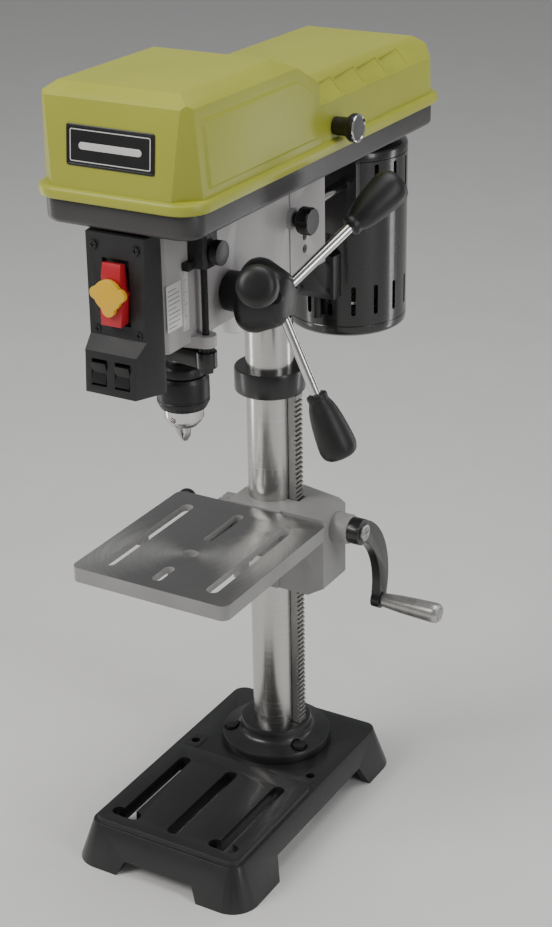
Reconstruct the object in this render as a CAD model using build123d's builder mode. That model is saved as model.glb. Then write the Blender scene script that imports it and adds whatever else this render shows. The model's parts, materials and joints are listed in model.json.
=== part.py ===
from build123d import *
import os
from math import sin, cos, radians, pi, sqrt

os.makedirs("parts", exist_ok=True)

# ---------------------------------------------------------------- driving sizes, mm
# Frame: Z up from the bench, the front of the machine faces -Y, the operator's right is +X.
# The column's axis is the Z axis and the bench is z = 0.

run = 0.05            # radial clearance of a shaft that turns or slides in its bore
face_gap = 0.08       # axial clearance between faces that slide on each other
free_gap = 0.5        # clearance between parts that pass without touching

# base
base_half_w = 84.0    # half width of the top face
base_front = -219.0
base_rear = 66.0
base_h = 42.0
base_flare = 14.5     # how far the foot stands outside the top face
base_corner = 18.0
pad_h = 4.0           # raised front half
pad_rear = -66.0
slot_w = 13.0
slot_x = 55.0
slot_front = -203.0
slot_rear = -86.0
bench_x = 68.0
bench_y = -50.0
bench_r = 4.5

# column and its flange
col_r = 23.0
col_wall = 3.0
col_top = 600.0
flange_r = 56.0
flange_h = 10.0
collar_r = 36.0
flange_top = 68.0
flange_bolt_pcd = 92.0

# rack and ring above it
rack_x0 = 23.3
rack_x1 = 32.0
rack_half_w = 6.0
rack_top = 444.0
ring_r = 34.0
ring_z0 = 432.0
ring_z1 = 456.0
tooth_pitch = 5.0

# table and bracket
table_half_w = 82.5
table_front = -222.0
table_rear = -39.0
table_top = 322.0
table_t = 14.5
table_slot_x = 55.0
table_hole_r = 8.0
tilt_z = 285.0
pad_y = -38.0         # face of the bracket that the table turns on
bracket_z0 = 238.0
bracket_r = 36.0
gearbox_x1 = 75.0
crank_y = -8.0
crank_z = 306.0
gear_x = 47.0
gear_z = 281.0
gear_r = 14.6
worm_r = 9.8
crank_x0 = 93.0
crank_x1 = 105.0
crank_dy = 47.0       # grip centre from the crank's axis
crank_dz = -96.0

# head
head_half_w = 32.0
head_rear_half_w = 43.0
head_front = -222.0
head_z0 = 545.0
head_z1 = 652.0
socket_z0 = 555.0
socket_r = 41.0
spindle_y = -150.0
quill_r = 20.0
quill_z0 = 520.0
quill_z1 = 640.0
spindle_r = 8.0
feed_y = spindle_y + quill_r + 9.0  # pinion beside the rack on the quill
feed_z = 572.0
feed_r = 8.0
pinion_r = 8.6
bar_x = 33.0
bar_z = 612.0
bar_r = 6.0
light_y = -66.0

# feed handles
arm_slant = 22.0
arm_first = 35.0
arm_root = 15.0
rod_r = 4.6
rod_len = 91.0
grip_end = 152.0

# depth stop
rod_x = 40.5
rod_y = -173.0
stop_rod_r = 3.0

# chuck
chuck_tip = 436.0
sleeve_r = 23.5

# belt housing
tray_half_w = 75.0
tray_front = -241.0
tray_rear = 202.0
tray_h = 27.8
lip_half_w = 81.0
lip_front = -247.0
lip_rear = 208.0
lip_z0 = 674.0
lip_z1 = 684.0
roof_front = 766.0
roof_rear = 740.0
skin = 2.6

# pulleys and belt
motor_y = 157.0
step_h = 11.6
pulley_z0 = 661.0
step_r = (37.0, 33.5, 30.0, 26.5, 23.0)

# motor
motor_r = 59.0
motor_z0 = 452.0
motor_z1 = 640.0

head_mid = head_z1 - 40.0
table_under = table_top - table_t


def save(builder, label):
    builder.part.label = label
    export_step(builder.part, "parts/" + label + ".step")


def save_group(label, builders):
    solids = []
    for b in builders:
        solids += list(b.part.solids())
    export_step(Compound(label=label, children=solids), "parts/" + label + ".step")


# ---------------------------------------------------------------- base
with BuildPart() as base:
    with BuildSketch(Plane.XY) as s:
        with Locations((0, (base_front + base_rear) / 2)):
            RectangleRounded(
                2 * (base_half_w + base_flare),
                base_rear - base_front + 2 * base_flare,
                base_corner + base_flare * 0.6,
            )
    extrude(amount=base_h, taper=19.0)
    with BuildSketch(Plane.XY) as s:
        with Locations((0, (base_front + base_rear) / 2)):
            RectangleRounded(
                2 * (base_half_w + base_flare) - 18,
                base_rear - base_front + 2 * base_flare - 18,
                base_corner,
            )
    extrude(amount=base_h - 11, taper=19.0, mode=Mode.SUBTRACT)
    # openings between the corner feet
    with BuildSketch(Plane.XZ) as s:
        with BuildLine():
            Polyline((-46, -1), (46, -1), (38, 15), (-38, 15), close=True)
        make_face()
    extrude(amount=400, both=True, mode=Mode.SUBTRACT)
    with BuildSketch(Plane.YZ) as s:
        with BuildLine():
            Polyline((-166, -1), (22, -1), (12, 22), (-156, 22), close=True)
        make_face()
    extrude(amount=200, both=True, mode=Mode.SUBTRACT)
    # raised front half
    with BuildSketch(Plane.XY.offset(base_h - 1)) as s:
        with Locations((0, (base_front + 3 + pad_rear) / 2)):
            RectangleRounded(2 * base_half_w - 6, pad_rear - base_front - 3, 10)
    extrude(amount=pad_h + 1, taper=12)
    # seat under the column, solid down to the bench side of the casting
    with BuildSketch(Plane.XY.offset(8)) as s:
        Circle(52)
    extrude(amount=base_h - 8)
    for rib_x in (-30, 30):
        with BuildSketch(Plane.XY.offset(14)) as s:
            with Locations((rib_x, (base_front + base_rear) / 2)):
                Rectangle(6, base_rear - base_front - 6)
        extrude(amount=base_h - 16)
    # T slots
    with BuildSketch(Plane.XY.offset(-1)) as s:
        with Locations((-slot_x, 0), (slot_x, 0)):
            with Locations((0, (slot_front + slot_rear) / 2)):
                SlotOverall(slot_rear - slot_front, slot_w, rotation=90)
            with Locations((0, slot_front + 7)):
                SlotOverall(31, slot_w, rotation=0)
        with Locations((0, (slot_front + slot_rear) / 2)):
            SlotOverall(slot_rear - slot_front, slot_w, rotation=90)
    extrude(amount=60, mode=Mode.SUBTRACT)
    # bosses for the bench bolts
    with BuildSketch(Plane.XY.offset(20)) as s:
        with Locations((-bench_x, bench_y), (bench_x, bench_y)):
            SlotOverall(30, 17, rotation=90)
    extrude(amount=base_h - 20 + 0.8)
    with BuildSketch(Plane.XY.offset(-1)) as s:
        with Locations((-bench_x, bench_y), (bench_x, bench_y)):
            Circle(bench_r)
    extrude(amount=60, mode=Mode.SUBTRACT)
    # threaded holes for the flange and the hollow below the column
    with BuildSketch(Plane.XY.offset(base_h - 18)) as s:
        with PolarLocations(flange_bolt_pcd / 2, 3, start_angle=90):
            Circle(4.0)
    extrude(amount=30, mode=Mode.SUBTRACT)
save(base, "base")

with BuildPart() as column_flange:
    with BuildSketch(Plane.XZ) as s:
        with BuildLine():
            Polyline(
                (col_r, base_h),
                (flange_r, base_h),
                (flange_r, base_h + flange_h),
                (collar_r + 5, base_h + flange_h + 3),
                (collar_r + 1, base_h + flange_h + 6),
                (collar_r, flange_top),
                (col_r, flange_top),
                close=True,
            )
        make_face()
    revolve(axis=Axis.Z)
    with BuildSketch(Plane.XY.offset(base_h - 1)) as s:
        with PolarLocations(flange_bolt_pcd / 2, 3, start_angle=90):
            Circle(4.3)
    extrude(amount=40, mode=Mode.SUBTRACT)
    with BuildSketch(Plane.XY.offset(base_h + flange_h - 1)) as s:
        with PolarLocations(flange_bolt_pcd / 2, 3, start_angle=90):
            Circle(8.5)
    extrude(amount=30, mode=Mode.SUBTRACT)
save(column_flange, "column_flange")

with BuildPart() as flange_bolts:
    with BuildSketch(Plane.XY.offset(base_h - 16)) as s:
        with PolarLocations(flange_bolt_pcd / 2, 3, start_angle=90):
            Circle(4.0)
    extrude(amount=16 + flange_h - 1)
    with BuildSketch(Plane.XY.offset(base_h + flange_h - 1)) as s:
        with PolarLocations(flange_bolt_pcd / 2, 3, start_angle=90):
            RegularPolygon(7.0, 6)
    extrude(amount=5.5)
save(flange_bolts, "flange_bolts")

with BuildPart() as column:
    with BuildSketch(Plane.XY.offset(base_h)) as s:
        Circle(col_r)
        Circle(col_r - col_wall, mode=Mode.SUBTRACT)
    extrude(amount=col_top - base_h)
save(column, "column")

# ---------------------------------------------------------------- rack and its ring
with BuildPart() as rack:
    with BuildSketch(Plane.XY.offset(flange_top + 0.4)) as s:
        with Locations(((rack_x0 + rack_x1) / 2 - 1.5, 0)):
            Rectangle(rack_x1 - rack_x0 + 3, 2 * rack_half_w)
        Circle(col_r + 0.3, mode=Mode.SUBTRACT)
    extrude(amount=rack_top - flange_top - 0.4)
    tooth_count = int((rack_top - 14 - flange_top - 6) / tooth_pitch)
    with BuildSketch(Plane.XZ) as s:
        for i in range(tooth_count):
            z = flange_top + 6 + i * tooth_pitch
            with BuildLine():
                Polyline(
                    (rack_x1 + 0.5, z),
                    (rack_x1 - 2.6, z + 0.9),
                    (rack_x1 - 2.6, z + 2.1),
                    (rack_x1 + 0.5, z + 3.0),
                    close=True,
                )
            make_face()
    extrude(amount=20, both=True, mode=Mode.SUBTRACT)
    # the ends are bevelled under the ring and the flange
    with BuildSketch(Plane.XY.offset(ring_z0 - 1)) as s:
        with Locations((rack_x1, 0)):
            Rectangle(4, 30)
    extrude(amount=30, mode=Mode.SUBTRACT)
save(rack, "rack")

with BuildPart() as rack_ring:
    with BuildSketch(Plane.XZ) as s:
        with BuildLine():
            Polyline(
                (col_r, ring_z1),
                (ring_r - 1.5, ring_z1),
                (ring_r, ring_z1 - 1.5),
                (ring_r, ring_z0 + 1),
                (ring_r - 1, ring_z0),
                (31.0, ring_z0),
                (31.0, rack_top + 0.3),
                (col_r, rack_top + 0.3),
                close=True,
            )
        make_face()
    revolve(axis=Axis.Z)
    with BuildSketch(Plane.YZ.offset(-50)) as s:
        with Locations((0, 450)):
            Circle(3.0)
    extrude(amount=50 - col_r + 2, mode=Mode.SUBTRACT)
save(rack_ring, "rack_ring")

with BuildPart() as ring_screw:
    with BuildSketch(Plane.YZ.offset(-ring_r + 1)) as s:
        with Locations((0, 450)):
            Circle(3.0)
    extrude(amount=ring_r - 1 - col_r)
    with BuildSketch(Plane.YZ.offset(-ring_r)) as s:
        with Locations((0, 450)):
            RegularPolygon(1.5, 6)
    extrude(amount=4, mode=Mode.SUBTRACT)

# ---------------------------------------------------------------- table bracket
with BuildPart() as table_bracket:
    with BuildSketch(Plane.XY.offset(bracket_z0)) as s:
        Circle(bracket_r)
        with Locations((0, (pad_y + 3) / 2)):
            Rectangle(50, -pad_y - 3)
    extrude(amount=table_top - bracket_z0 - 8)
    # round pad that the table turns on
    with BuildSketch(Plane.XZ.offset(-pad_y)) as s:
        with Locations((0, tilt_z)):
            Circle(27)
    extrude(amount=-16)
    # gear housing on the right, its top level with the table
    with BuildSketch(Plane.XY.offset(bracket_z0)) as s:
        with BuildLine():
            Polyline(
                (18, -33), (gearbox_x1, -33), (gearbox_x1, 12), (64, 20), (18, 30), close=True
            )
        make_face()
    extrude(amount=table_top - bracket_z0)
    with BuildSketch(Plane.XZ.offset(-60)) as s:
        with BuildLine():
            Polyline(
                (80, bracket_z0 - 1),
                (80, bracket_z0 + 14),
                (56, bracket_z0 - 1),
                close=True,
            )
        make_face()
    extrude(amount=120, mode=Mode.SUBTRACT)
    # split clamp ears at the left rear
    with BuildSketch(Plane.XY.offset(bracket_z0 + 10)) as s:
        with Locations((-44, 0)):
            Rectangle(30, 26)
    extrude(amount=56)
    # flat upper land behind the table
    with BuildSketch(Plane.XY.offset(table_top - 10)) as s:
        with Locations((0, -6)):
            Rectangle(58, 60)
    extrude(amount=10)
    # column bore and rack channel
    with BuildSketch(Plane.XY.offset(bracket_z0 - 5)) as s:
        Circle(col_r + run)
        with Locations((27, 0)):
            Rectangle(14, 2 * rack_half_w + 1.2)
    extrude(amount=table_top - bracket_z0 + 10, mode=Mode.SUBTRACT)
    # slit between the ears
    with BuildSketch(Plane.XY.offset(bracket_z0 - 5)) as s:
        with Locations((-45, 0)):
            Rectangle(60, 3)
    extrude(amount=table_top - bracket_z0 + 10, mode=Mode.SUBTRACT)
    # hollow for the gear and the worm
    with BuildSketch(Plane.XZ.offset(-14)) as s:
        with Locations((gear_x, gear_z)):
            Circle(gear_r + 1.2)
        with Locations((gear_x - 10, gear_z)):
            Rectangle(20, 2 * gear_r - 8)
    extrude(amount=34, mode=Mode.SUBTRACT)
    with BuildSketch(Plane.YZ.offset(gear_x - 14)) as s:
        with Locations((crank_y, crank_z)):
            Circle(worm_r + 0.8)
    extrude(amount=28, mode=Mode.SUBTRACT)
    # shaft bores
    with BuildSketch(Plane.YZ.offset(gear_x - 10)) as s:
        with Locations((crank_y, crank_z)):
            Circle(6 + run)
    extrude(amount=80, mode=Mode.SUBTRACT)
    with BuildSketch(Plane.XZ.offset(40)) as s:
        with Locations((gear_x, gear_z)):
            Circle(5 + run)
    extrude(amount=-80, mode=Mode.SUBTRACT)
    # tilt bolt's threaded hole
    with BuildSketch(Plane.XZ.offset(-pad_y + 1)) as s:
        with Locations((0, tilt_z)):
            Circle(5)
    extrude(amount=-13, mode=Mode.SUBTRACT)
    # clamp stud's hole through both ears
    with BuildSketch(Plane.XZ.offset(-40)) as s:
        with Locations((-50, bracket_z0 + 38)):
            Circle(5 + run)
    extrude(amount=80, mode=Mode.SUBTRACT)

with BuildPart() as crank_boss:
    with BuildSketch(Plane.YZ.offset(gearbox_x1)) as s:
        with Locations((crank_y, crank_z)):
            Circle(14.5)
            Circle(6 + run, mode=Mode.SUBTRACT)
    extrude(amount=crank_x0 - gearbox_x1 - face_gap)
    fillet(crank_boss.edges().filter_by(GeomType.CIRCLE).group_by(Axis.X)[-1].sort_by(SortBy.RADIUS)[-1], 2.5)

with BuildPart() as worm_shaft:
    with BuildSketch(Plane.YZ.offset(gear_x - 9.5)) as s:
        with Locations((crank_y, crank_z)):
            Circle(6)
    extrude(amount=crank_x1 - gear_x + 9.5 - 1)
    # worm threads shown as closely spaced rings
    for i in range(5):
        with BuildSketch(Plane.YZ.offset(gear_x - 9 + i * 4)) as s:
            with Locations((crank_y, crank_z)):
                Circle(worm_r)
        extrude(amount=2)
    with BuildSketch(Plane.YZ.offset(gear_x - 9.4)) as s:
        with Locations((crank_y, crank_z)):
            Circle(worm_r - 2.4)
    extrude(amount=18.8)
save(worm_shaft, "worm_shaft")

with BuildPart() as rack_gear:
    with BuildSketch(Plane.XZ.offset(-1)) as s:
        with Locations((gear_x, gear_z)):
            Circle(gear_r - 2.4)
            with PolarLocations(gear_r - 2.0, 16):
                Rectangle(4.0, 2.6)
    extrude(amount=16)
    with BuildSketch(Plane.XZ.offset(33.0)) as s:
        with Locations((gear_x, gear_z)):
            Circle(5)
    extrude(amount=-48)
save(rack_gear, "rack_gear")

with BuildPart() as crank_arm:
    with BuildSketch(Plane.YZ.offset(crank_x0)) as s:
        with Locations((crank_y, crank_z)):
            Circle(13)
        with Locations((crank_y + crank_dy, crank_z + crank_dz)):
            Circle(9)
        with BuildLine():
            l1 = ThreePointArc(
                (crank_y + 3, crank_z + 11),
                (crank_y + 53, crank_z - 34),
                (crank_y + crank_dy + 8.5, crank_z + crank_dz),
            )
            l2 = Line(l1 @ 1, (crank_y + crank_dy - 8.5, crank_z + crank_dz))
            l3 = ThreePointArc(
                l2 @ 1,
                (crank_y + 33, crank_z - 41),
                (crank_y - 3, crank_z - 10),
            )
            Line(l3 @ 1, l1 @ 0)
        make_face()
    extrude(amount=9)
    with BuildSketch(Plane.YZ.offset(crank_x0)) as s:
        with Locations((crank_y, crank_z)):
            Circle(13)
    extrude(amount=crank_x1 - crank_x0)
    with BuildSketch(Plane.YZ.offset(crank_x0 - 1)) as s:
        with Locations((crank_y, crank_z)):
            Circle(6)
        with Locations((crank_y + crank_dy, crank_z + crank_dz)):
            Circle(3.5)
    extrude(amount=20, mode=Mode.SUBTRACT)
save(crank_arm, "crank_arm")

with BuildPart() as crank_screw:
    with BuildSketch(Plane.YZ.offset(crank_x1 - 1)) as s:
        with Locations((crank_y, crank_z)):
            Circle(3.2)
    extrude(amount=2)
    with BuildSketch(Plane.YZ.offset(crank_x1)) as s:
        with Locations((crank_y, crank_z)):
            Circle(8)
    extrude(amount=3)
    with BuildSketch(Plane.YZ.offset(crank_x1 + 1.5)) as s:
        with Locations((crank_y, crank_z)):
            Rectangle(1.4, 12)
            Rectangle(12, 1.4)
    extrude(amount=3, mode=Mode.SUBTRACT)

with BuildPart() as grip_pin:
    with BuildSketch(Plane.YZ.offset(crank_x0)) as s:
        with Locations((crank_y + crank_dy, crank_z + crank_dz)):
            Circle(3.5)
    extrude(amount=72)
    with BuildSketch(Plane.YZ.offset(crank_x0 + 72 - 2)) as s:
        with Locations((crank_y + crank_dy, crank_z + crank_dz)):
            Circle(5.5)
    extrude(amount=2.5)

with BuildPart() as crank_grip:
    with BuildSketch(Plane.XY.offset(crank_z + crank_dz)) as s:
        gx = crank_x0 + 9 + 0.4
        gy = crank_y + crank_dy
        with BuildLine():
            Polyline(
                (gx, gy + 3.5 + run),
                (gx, gy + 7),
                (gx + 6, gy + 7.6),
                (gx + 40, gy + 9.6),
                (gx + 58, gy + 10.2),
                (gx + 63, gy + 8.0),
                (gx + 63, gy + 5.8),
                (gx + 60, gy + 5.8),
                (gx + 60, gy + 3.5 + run),
                close=True,
            )
        make_face()
    revolve(axis=Axis((0, gy, crank_z + crank_dz), (1, 0, 0)))
save(crank_grip, "crank_grip")

# ---------------------------------------------------------------- clamp lever
with BuildPart() as clamp_stud:
    with BuildSketch(Plane.XZ.offset(-40)) as s:
        with Locations((-50, bracket_z0 + 38)):
            Circle(5)
    extrude(amount=58)
    with BuildSketch(Plane.XZ.offset(13)) as s:
        with Locations((-50, bracket_z0 + 38)):
            RegularPolygon(8, 6)
    extrude(amount=6)

with BuildPart() as clamp_lever:
    with BuildSketch(Plane.XZ.offset(-13 - face_gap)) as s:
        with Locations((-50, bracket_z0 + 38)):
            Circle(11)
            Circle(5 + run, mode=Mode.SUBTRACT)
    extrude(amount=-18)
    with BuildSketch(Plane.XY.offset(bracket_z0 + 38)) as s:
        with BuildLine():
            Polyline((-57, 17), (-120, 26), (-120, 34), (-57, 27), close=True)
        make_face()
    extrude(amount=4, both=True)
    with Locations((-120, 30, bracket_z0 + 38)):
        Sphere(10)
save(clamp_lever, "clamp_lever")

# ---------------------------------------------------------------- table
with BuildPart() as table:
    with BuildSketch(Plane.XY.offset(table_under)) as s:
        with Locations((0, (table_front + table_rear) / 2)):
            RectangleRounded(2 * table_half_w, table_rear - table_front, 8)
    extrude(amount=table_t)
    # underside hollowed, leaving a rim and ribs
    with BuildSketch(Plane.XY.offset(table_under)) as s:
        with Locations((0, (table_front + table_rear) / 2)):
            RectangleRounded(2 * table_half_w - 14, table_rear - table_front - 14, 5)
        with Locations((0, (table_front + table_rear) / 2)):
            Rectangle(8, 200, mode=Mode.SUBTRACT)
            Rectangle(200, 8, mode=Mode.SUBTRACT)
        with Locations((-28, 0), (28, 0)):
            with Locations((0, (table_front + table_rear) / 2)):
                Rectangle(6, 200, mode=Mode.SUBTRACT)
        with Locations((0, spindle_y)):
            Circle(18, mode=Mode.SUBTRACT)
    extrude(amount=table_t - 7, mode=Mode.SUBTRACT)
    # hub that turns on the bracket
    with BuildSketch(Plane.XZ.offset(-pad_y + face_gap)) as s:
        with Locations((0, tilt_z)):
            Circle(27)
    extrude(amount=18)
    with BuildSketch(Plane.XZ.offset(-pad_y + 1)) as s:
        with BuildLine():
            Polyline(
                (-26, tilt_z), (26, tilt_z), (34, table_under + 1), (-34, table_under + 1), close=True
            )
        make_face()
    extrude(amount=17)
    for rib_x in (-14, 14):
        with BuildSketch(Plane.YZ.offset(rib_x - 3)) as s:
            with BuildLine():
                Polyline(
                    (pad_y - 17, table_under + 1),
                    (pad_y - 17, tilt_z + 3),
                    (pad_y - 84, table_under + 1),
                    close=True,
                )
            make_face()
        extrude(amount=6)
    # bolt bore through the hub and its spot face
    with BuildSketch(Plane.XZ.offset(-pad_y)) as s:
        with Locations((0, tilt_z)):
            Circle(5 + run)
    extrude(amount=40, mode=Mode.SUBTRACT)
    with BuildSketch(Plane.XZ.offset(-pad_y + 18)) as s:
        with Locations((0, tilt_z)):
            Circle(11)
    extrude(amount=50, mode=Mode.SUBTRACT)
    # slots and centre hole
    with BuildSketch(Plane.XY.offset(table_under - 4)) as s:
        with Locations((-table_slot_x, -133.5), (table_slot_x, -133.5)):
            SlotOverall(142, 12, rotation=90)
        with Locations((0, -194)):
            SlotOverall(29, 10, rotation=90)
        with Locations((0, -90)):
            SlotOverall(62, 10, rotation=90)
        with Locations((0, spindle_y)):
            Circle(table_hole_r)
    extrude(amount=30, mode=Mode.SUBTRACT)
save(table, "table")

with BuildPart() as tilt_bolt:
    with BuildSketch(Plane.XZ.offset(-pad_y - 12)) as s:
        with Locations((0, tilt_z)):
            Circle(5)
    extrude(amount=30 + 2 * face_gap)
    with BuildSketch(Plane.XZ.offset(-pad_y + 18 + 2 * face_gap)) as s:
        with Locations((0, tilt_z)):
            RegularPolygon(9.2, 6)
    extrude(amount=7)
    with BuildSketch(Plane.XZ.offset(-pad_y + 18 + 2 * face_gap)) as s:
        with Locations((0, tilt_z)):
            Circle(10)
    extrude(amount=1.6)

with BuildPart() as tilt_scale:
    with BuildSketch(Plane.XZ.offset(-pad_y + 18.0 + face_gap)) as s:
        with Locations((0, tilt_z)):
            Circle(25)
            Circle(14, mode=Mode.SUBTRACT)
            with Locations((0, 18)):
                Rectangle(60, 42, mode=Mode.SUBTRACT)
    extrude(amount=1.0)
save(tilt_scale, "tilt_scale")

# ---------------------------------------------------------------- head casting
with BuildPart() as head_casting:
    with BuildSketch(Plane.XY.offset(head_z0)) as s:
        with BuildLine():
            Polyline(
                (-head_half_w + 6, head_front),
                (head_half_w - 6, head_front),
                (head_half_w, head_front + 6),
                (head_half_w, -100),
                (head_rear_half_w - 1, -54),
                (head_rear_half_w - 1, -20),
                (-head_rear_half_w + 1, -20),
                (-head_rear_half_w + 1, -54),
                (-head_half_w, -100),
                (-head_half_w, head_front + 6),
                close=True,
            )
        make_face()
    extrude(amount=head_z1 - head_z0)
    # the underside rises towards the column
    with BuildSketch(Plane.YZ) as s:
        with BuildLine():
            Polyline((-100, 540), (-60, socket_z0), (40, socket_z0), (40, 540), close=True)
        make_face()
    extrude(amount=80, both=True, mode=Mode.SUBTRACT)
    with BuildSketch(Plane.XY.offset(socket_z0)) as s:
        Circle(socket_r)
        with Locations((0, 0)):
            Rectangle(2 * head_rear_half_w, 64)
    extrude(amount=head_z1 - socket_z0)
    # boss round the quill
    with BuildSketch(Plane.XY.offset(540)) as s:
        with Locations((0, spindle_y)):
            Circle(28)
    extrude(amount=head_z1 - 540)
    # left boss that takes the return spring
    with BuildSketch(Plane.YZ.offset(-head_half_w - 5)) as s:
        with Locations((feed_y, feed_z)):
            Circle(24)
    extrude(amount=8)
    # lug that the depth rod slides through
    with BuildSketch(Plane.XY.offset(540)) as s:
        with BuildLine():
            Polyline((24, -186), (24, -160), (rod_x, -164), (rod_x, -182), close=True)
        make_face()
        with Locations((rod_x, rod_y)):
            Circle(9)
    extrude(amount=10)
    # boss of the belt tension lock
    with BuildSketch(Plane.YZ.offset(36)) as s:
        with Locations((-28, bar_z)):
            Circle(10)
    extrude(amount=10)
    # quill bore, bearing seat and column socket
    with BuildSketch(Plane.XY.offset(500)) as s:
        with Locations((0, spindle_y)):
            Circle(quill_r + run)
    extrude(amount=quill_z1 + 0.5 - 500, mode=Mode.SUBTRACT)
    with BuildSketch(Plane.XY.offset(quill_z1)) as s:
        with Locations((0, spindle_y)):
            Circle(17.5)
    extrude(amount=30, mode=Mode.SUBTRACT)
    with BuildSketch(Plane.XY.offset(500)) as s:
        Circle(col_r)
    extrude(amount=col_top - 500, mode=Mode.SUBTRACT)
    # cross bore for the feed shaft, wider round the pinion
    with BuildSketch(Plane.YZ.offset(-60)) as s:
        with Locations((feed_y, feed_z)):
            Circle(feed_r + run)
    extrude(amount=120, mode=Mode.SUBTRACT)
    with BuildSketch(Plane.YZ.offset(-18)) as s:
        with Locations((feed_y, feed_z)):
            Circle(10.5)
    extrude(amount=36, mode=Mode.SUBTRACT)
    # tunnels for the motor's slide bars
    with BuildSketch(Plane.XZ.offset(46)) as s:
        with Locations((-bar_x, bar_z), (bar_x, bar_z)):
            Circle(bar_r + run)
    extrude(amount=-116, mode=Mode.SUBTRACT)
    # threaded holes: tension lock, two set screws for the column
    with BuildSketch(Plane.YZ.offset(bar_x + 2)) as s:
        with Locations((-28, bar_z)):
            Circle(4 + run)
    extrude(amount=40, mode=Mode.SUBTRACT)
    with BuildSketch(Plane.YZ.offset(10)) as s:
        with Locations((-6, 578), (-6, 590)):
            Circle(4)
    extrude(amount=60, mode=Mode.SUBTRACT)
    # rod hole in the lug
    with BuildSketch(Plane.XY.offset(530)) as s:
        with Locations((rod_x, rod_y)):
            Circle(stop_rod_r + run)
    extrude(amount=40, mode=Mode.SUBTRACT)
    # lightening pocket between the quill boss and the socket, open under the belt housing
    with BuildSketch(Plane.XY.offset(574)) as s:
        with Locations((0, -82)):
            RectangleRounded(44, 40, 6)
    extrude(amount=100, mode=Mode.SUBTRACT)
    # seat of the work light, and the wiring space in front
    with BuildSketch(Plane.XY.offset(530)) as s:
        with Locations((0, light_y)):
            Circle(13.5)
    extrude(amount=26, mode=Mode.SUBTRACT)
    with BuildSketch(Plane.XZ.offset(-head_front + 5)) as s:
        with Locations((0, 604)):
            RectangleRounded(40, 76, 5)
    extrude(amount=-42, mode=Mode.SUBTRACT)
    # holes for the housing screws
    with BuildSketch(Plane.XY.offset(640)) as s:
        with Locations((-20, -190), (20, -190), (-27, -48), (27, -48)):
            Circle(2.5)
    extrude(amount=30, mode=Mode.SUBTRACT)
save(head_casting, "head_casting")

with BuildPart() as head_screws:
    with BuildSketch(Plane.YZ.offset(col_r)) as s:
        with Locations((-6, 578), (-6, 590)):
            Circle(4)
    extrude(amount=head_rear_half_w - col_r - 3)
    with BuildSketch(Plane.YZ.offset(head_rear_half_w - 6)) as s:
        with Locations((-6, 578), (-6, 590)):
            RegularPolygon(2.2, 6)
    extrude(amount=6, mode=Mode.SUBTRACT)

with BuildPart() as work_light:
    with BuildSketch(Plane.XZ) as s:
        with BuildLine():
            Polyline(
                (0, 511), (9, 511), (11.5, 513.5), (13.5, 528), (13.5, 556), (0, 556), close=True
            )
        make_face()
    revolve(axis=Axis.Z)
work_light.part = work_light.part.moved(Location((0, light_y, 0)))
save(work_light, "work_light")

with BuildPart() as head_bearing:
    with BuildSketch(Plane.XY.offset(quill_z1 + 0.5)) as s:
        with Locations((0, spindle_y)):
            Circle(17.5)
            Circle(11 + run, mode=Mode.SUBTRACT)
    extrude(amount=head_z1 - quill_z1 - 1)
save(head_bearing, "head_bearing")

with BuildPart() as spring_cap:
    with BuildSketch(Plane.YZ.offset(-head_half_w - 5)) as s:
        with Locations((feed_y, feed_z)):
            Circle(24)
    extrude(amount=-20)
    fillet(spring_cap.faces().sort_by(Axis.X)[0].edges(), 4)
    with BuildSketch(Plane.YZ.offset(-head_half_w - 4)) as s:
        with Locations((feed_y, feed_z)):
            Circle(21)
    extrude(amount=-18, mode=Mode.SUBTRACT)
    with BuildSketch(Plane.YZ.offset(-head_half_w)) as s:
        with Locations((feed_y, feed_z)):
            Circle(feed_r + run)
    extrude(amount=-50, mode=Mode.SUBTRACT)
save(spring_cap, "spring_cap")

with BuildPart() as return_spring:
    with BuildSketch(Plane.YZ.offset(-head_half_w - 7)) as s:
        with Locations((feed_y, feed_z)):
            for r in (12.5, 15.0, 17.5, 20.2):
                Circle(r)
                Circle(r - 0.9, mode=Mode.SUBTRACT)
            Rectangle(40, 0.9)
            Circle(11.6, mode=Mode.SUBTRACT)
    extrude(amount=-12)
save(return_spring, "return_spring")

# ---------------------------------------------------------------- quill, spindle, chuck
with BuildPart() as quill:
    with BuildSketch(Plane.XY.offset(quill_z0)) as s:
        with Locations((0, spindle_y)):
            Circle(quill_r)
            Circle(10.5, mode=Mode.SUBTRACT)
    extrude(amount=quill_z1 - quill_z0)
    with BuildSketch(Plane.XY.offset(quill_z0)) as s:
        with Locations((0, spindle_y)):
            Circle(14)
    extrude(amount=11, mode=Mode.SUBTRACT)
    with BuildSketch(Plane.XY.offset(quill_z1 - 10)) as s:
        with Locations((0, spindle_y)):
            Circle(14)
    extrude(amount=11, mode=Mode.SUBTRACT)
    # rack cut in the rear
    with BuildSketch(Plane.XY.offset(quill_z0 + 26)) as s:
        with Locations((0, spindle_y + quill_r)):
            Rectangle(16, 0.6)
    extrude(amount=quill_z1 - quill_z0 - 27, mode=Mode.SUBTRACT)
    with BuildSketch(Plane.YZ) as s:
        for i in range(16):
            z = quill_z0 + 28 + i * 5.4
            with BuildLine():
                Polyline(
                    (spindle_y + quill_r + 1, z),
                    (spindle_y + quill_r - 2.3, z + 1.0),
                    (spindle_y + quill_r - 2.3, z + 2.2),
                    (spindle_y + quill_r + 1, z + 3.2),
                    close=True,
                )
            make_face()
    extrude(amount=8, both=True, mode=Mode.SUBTRACT)
save(quill, "quill")

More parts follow.
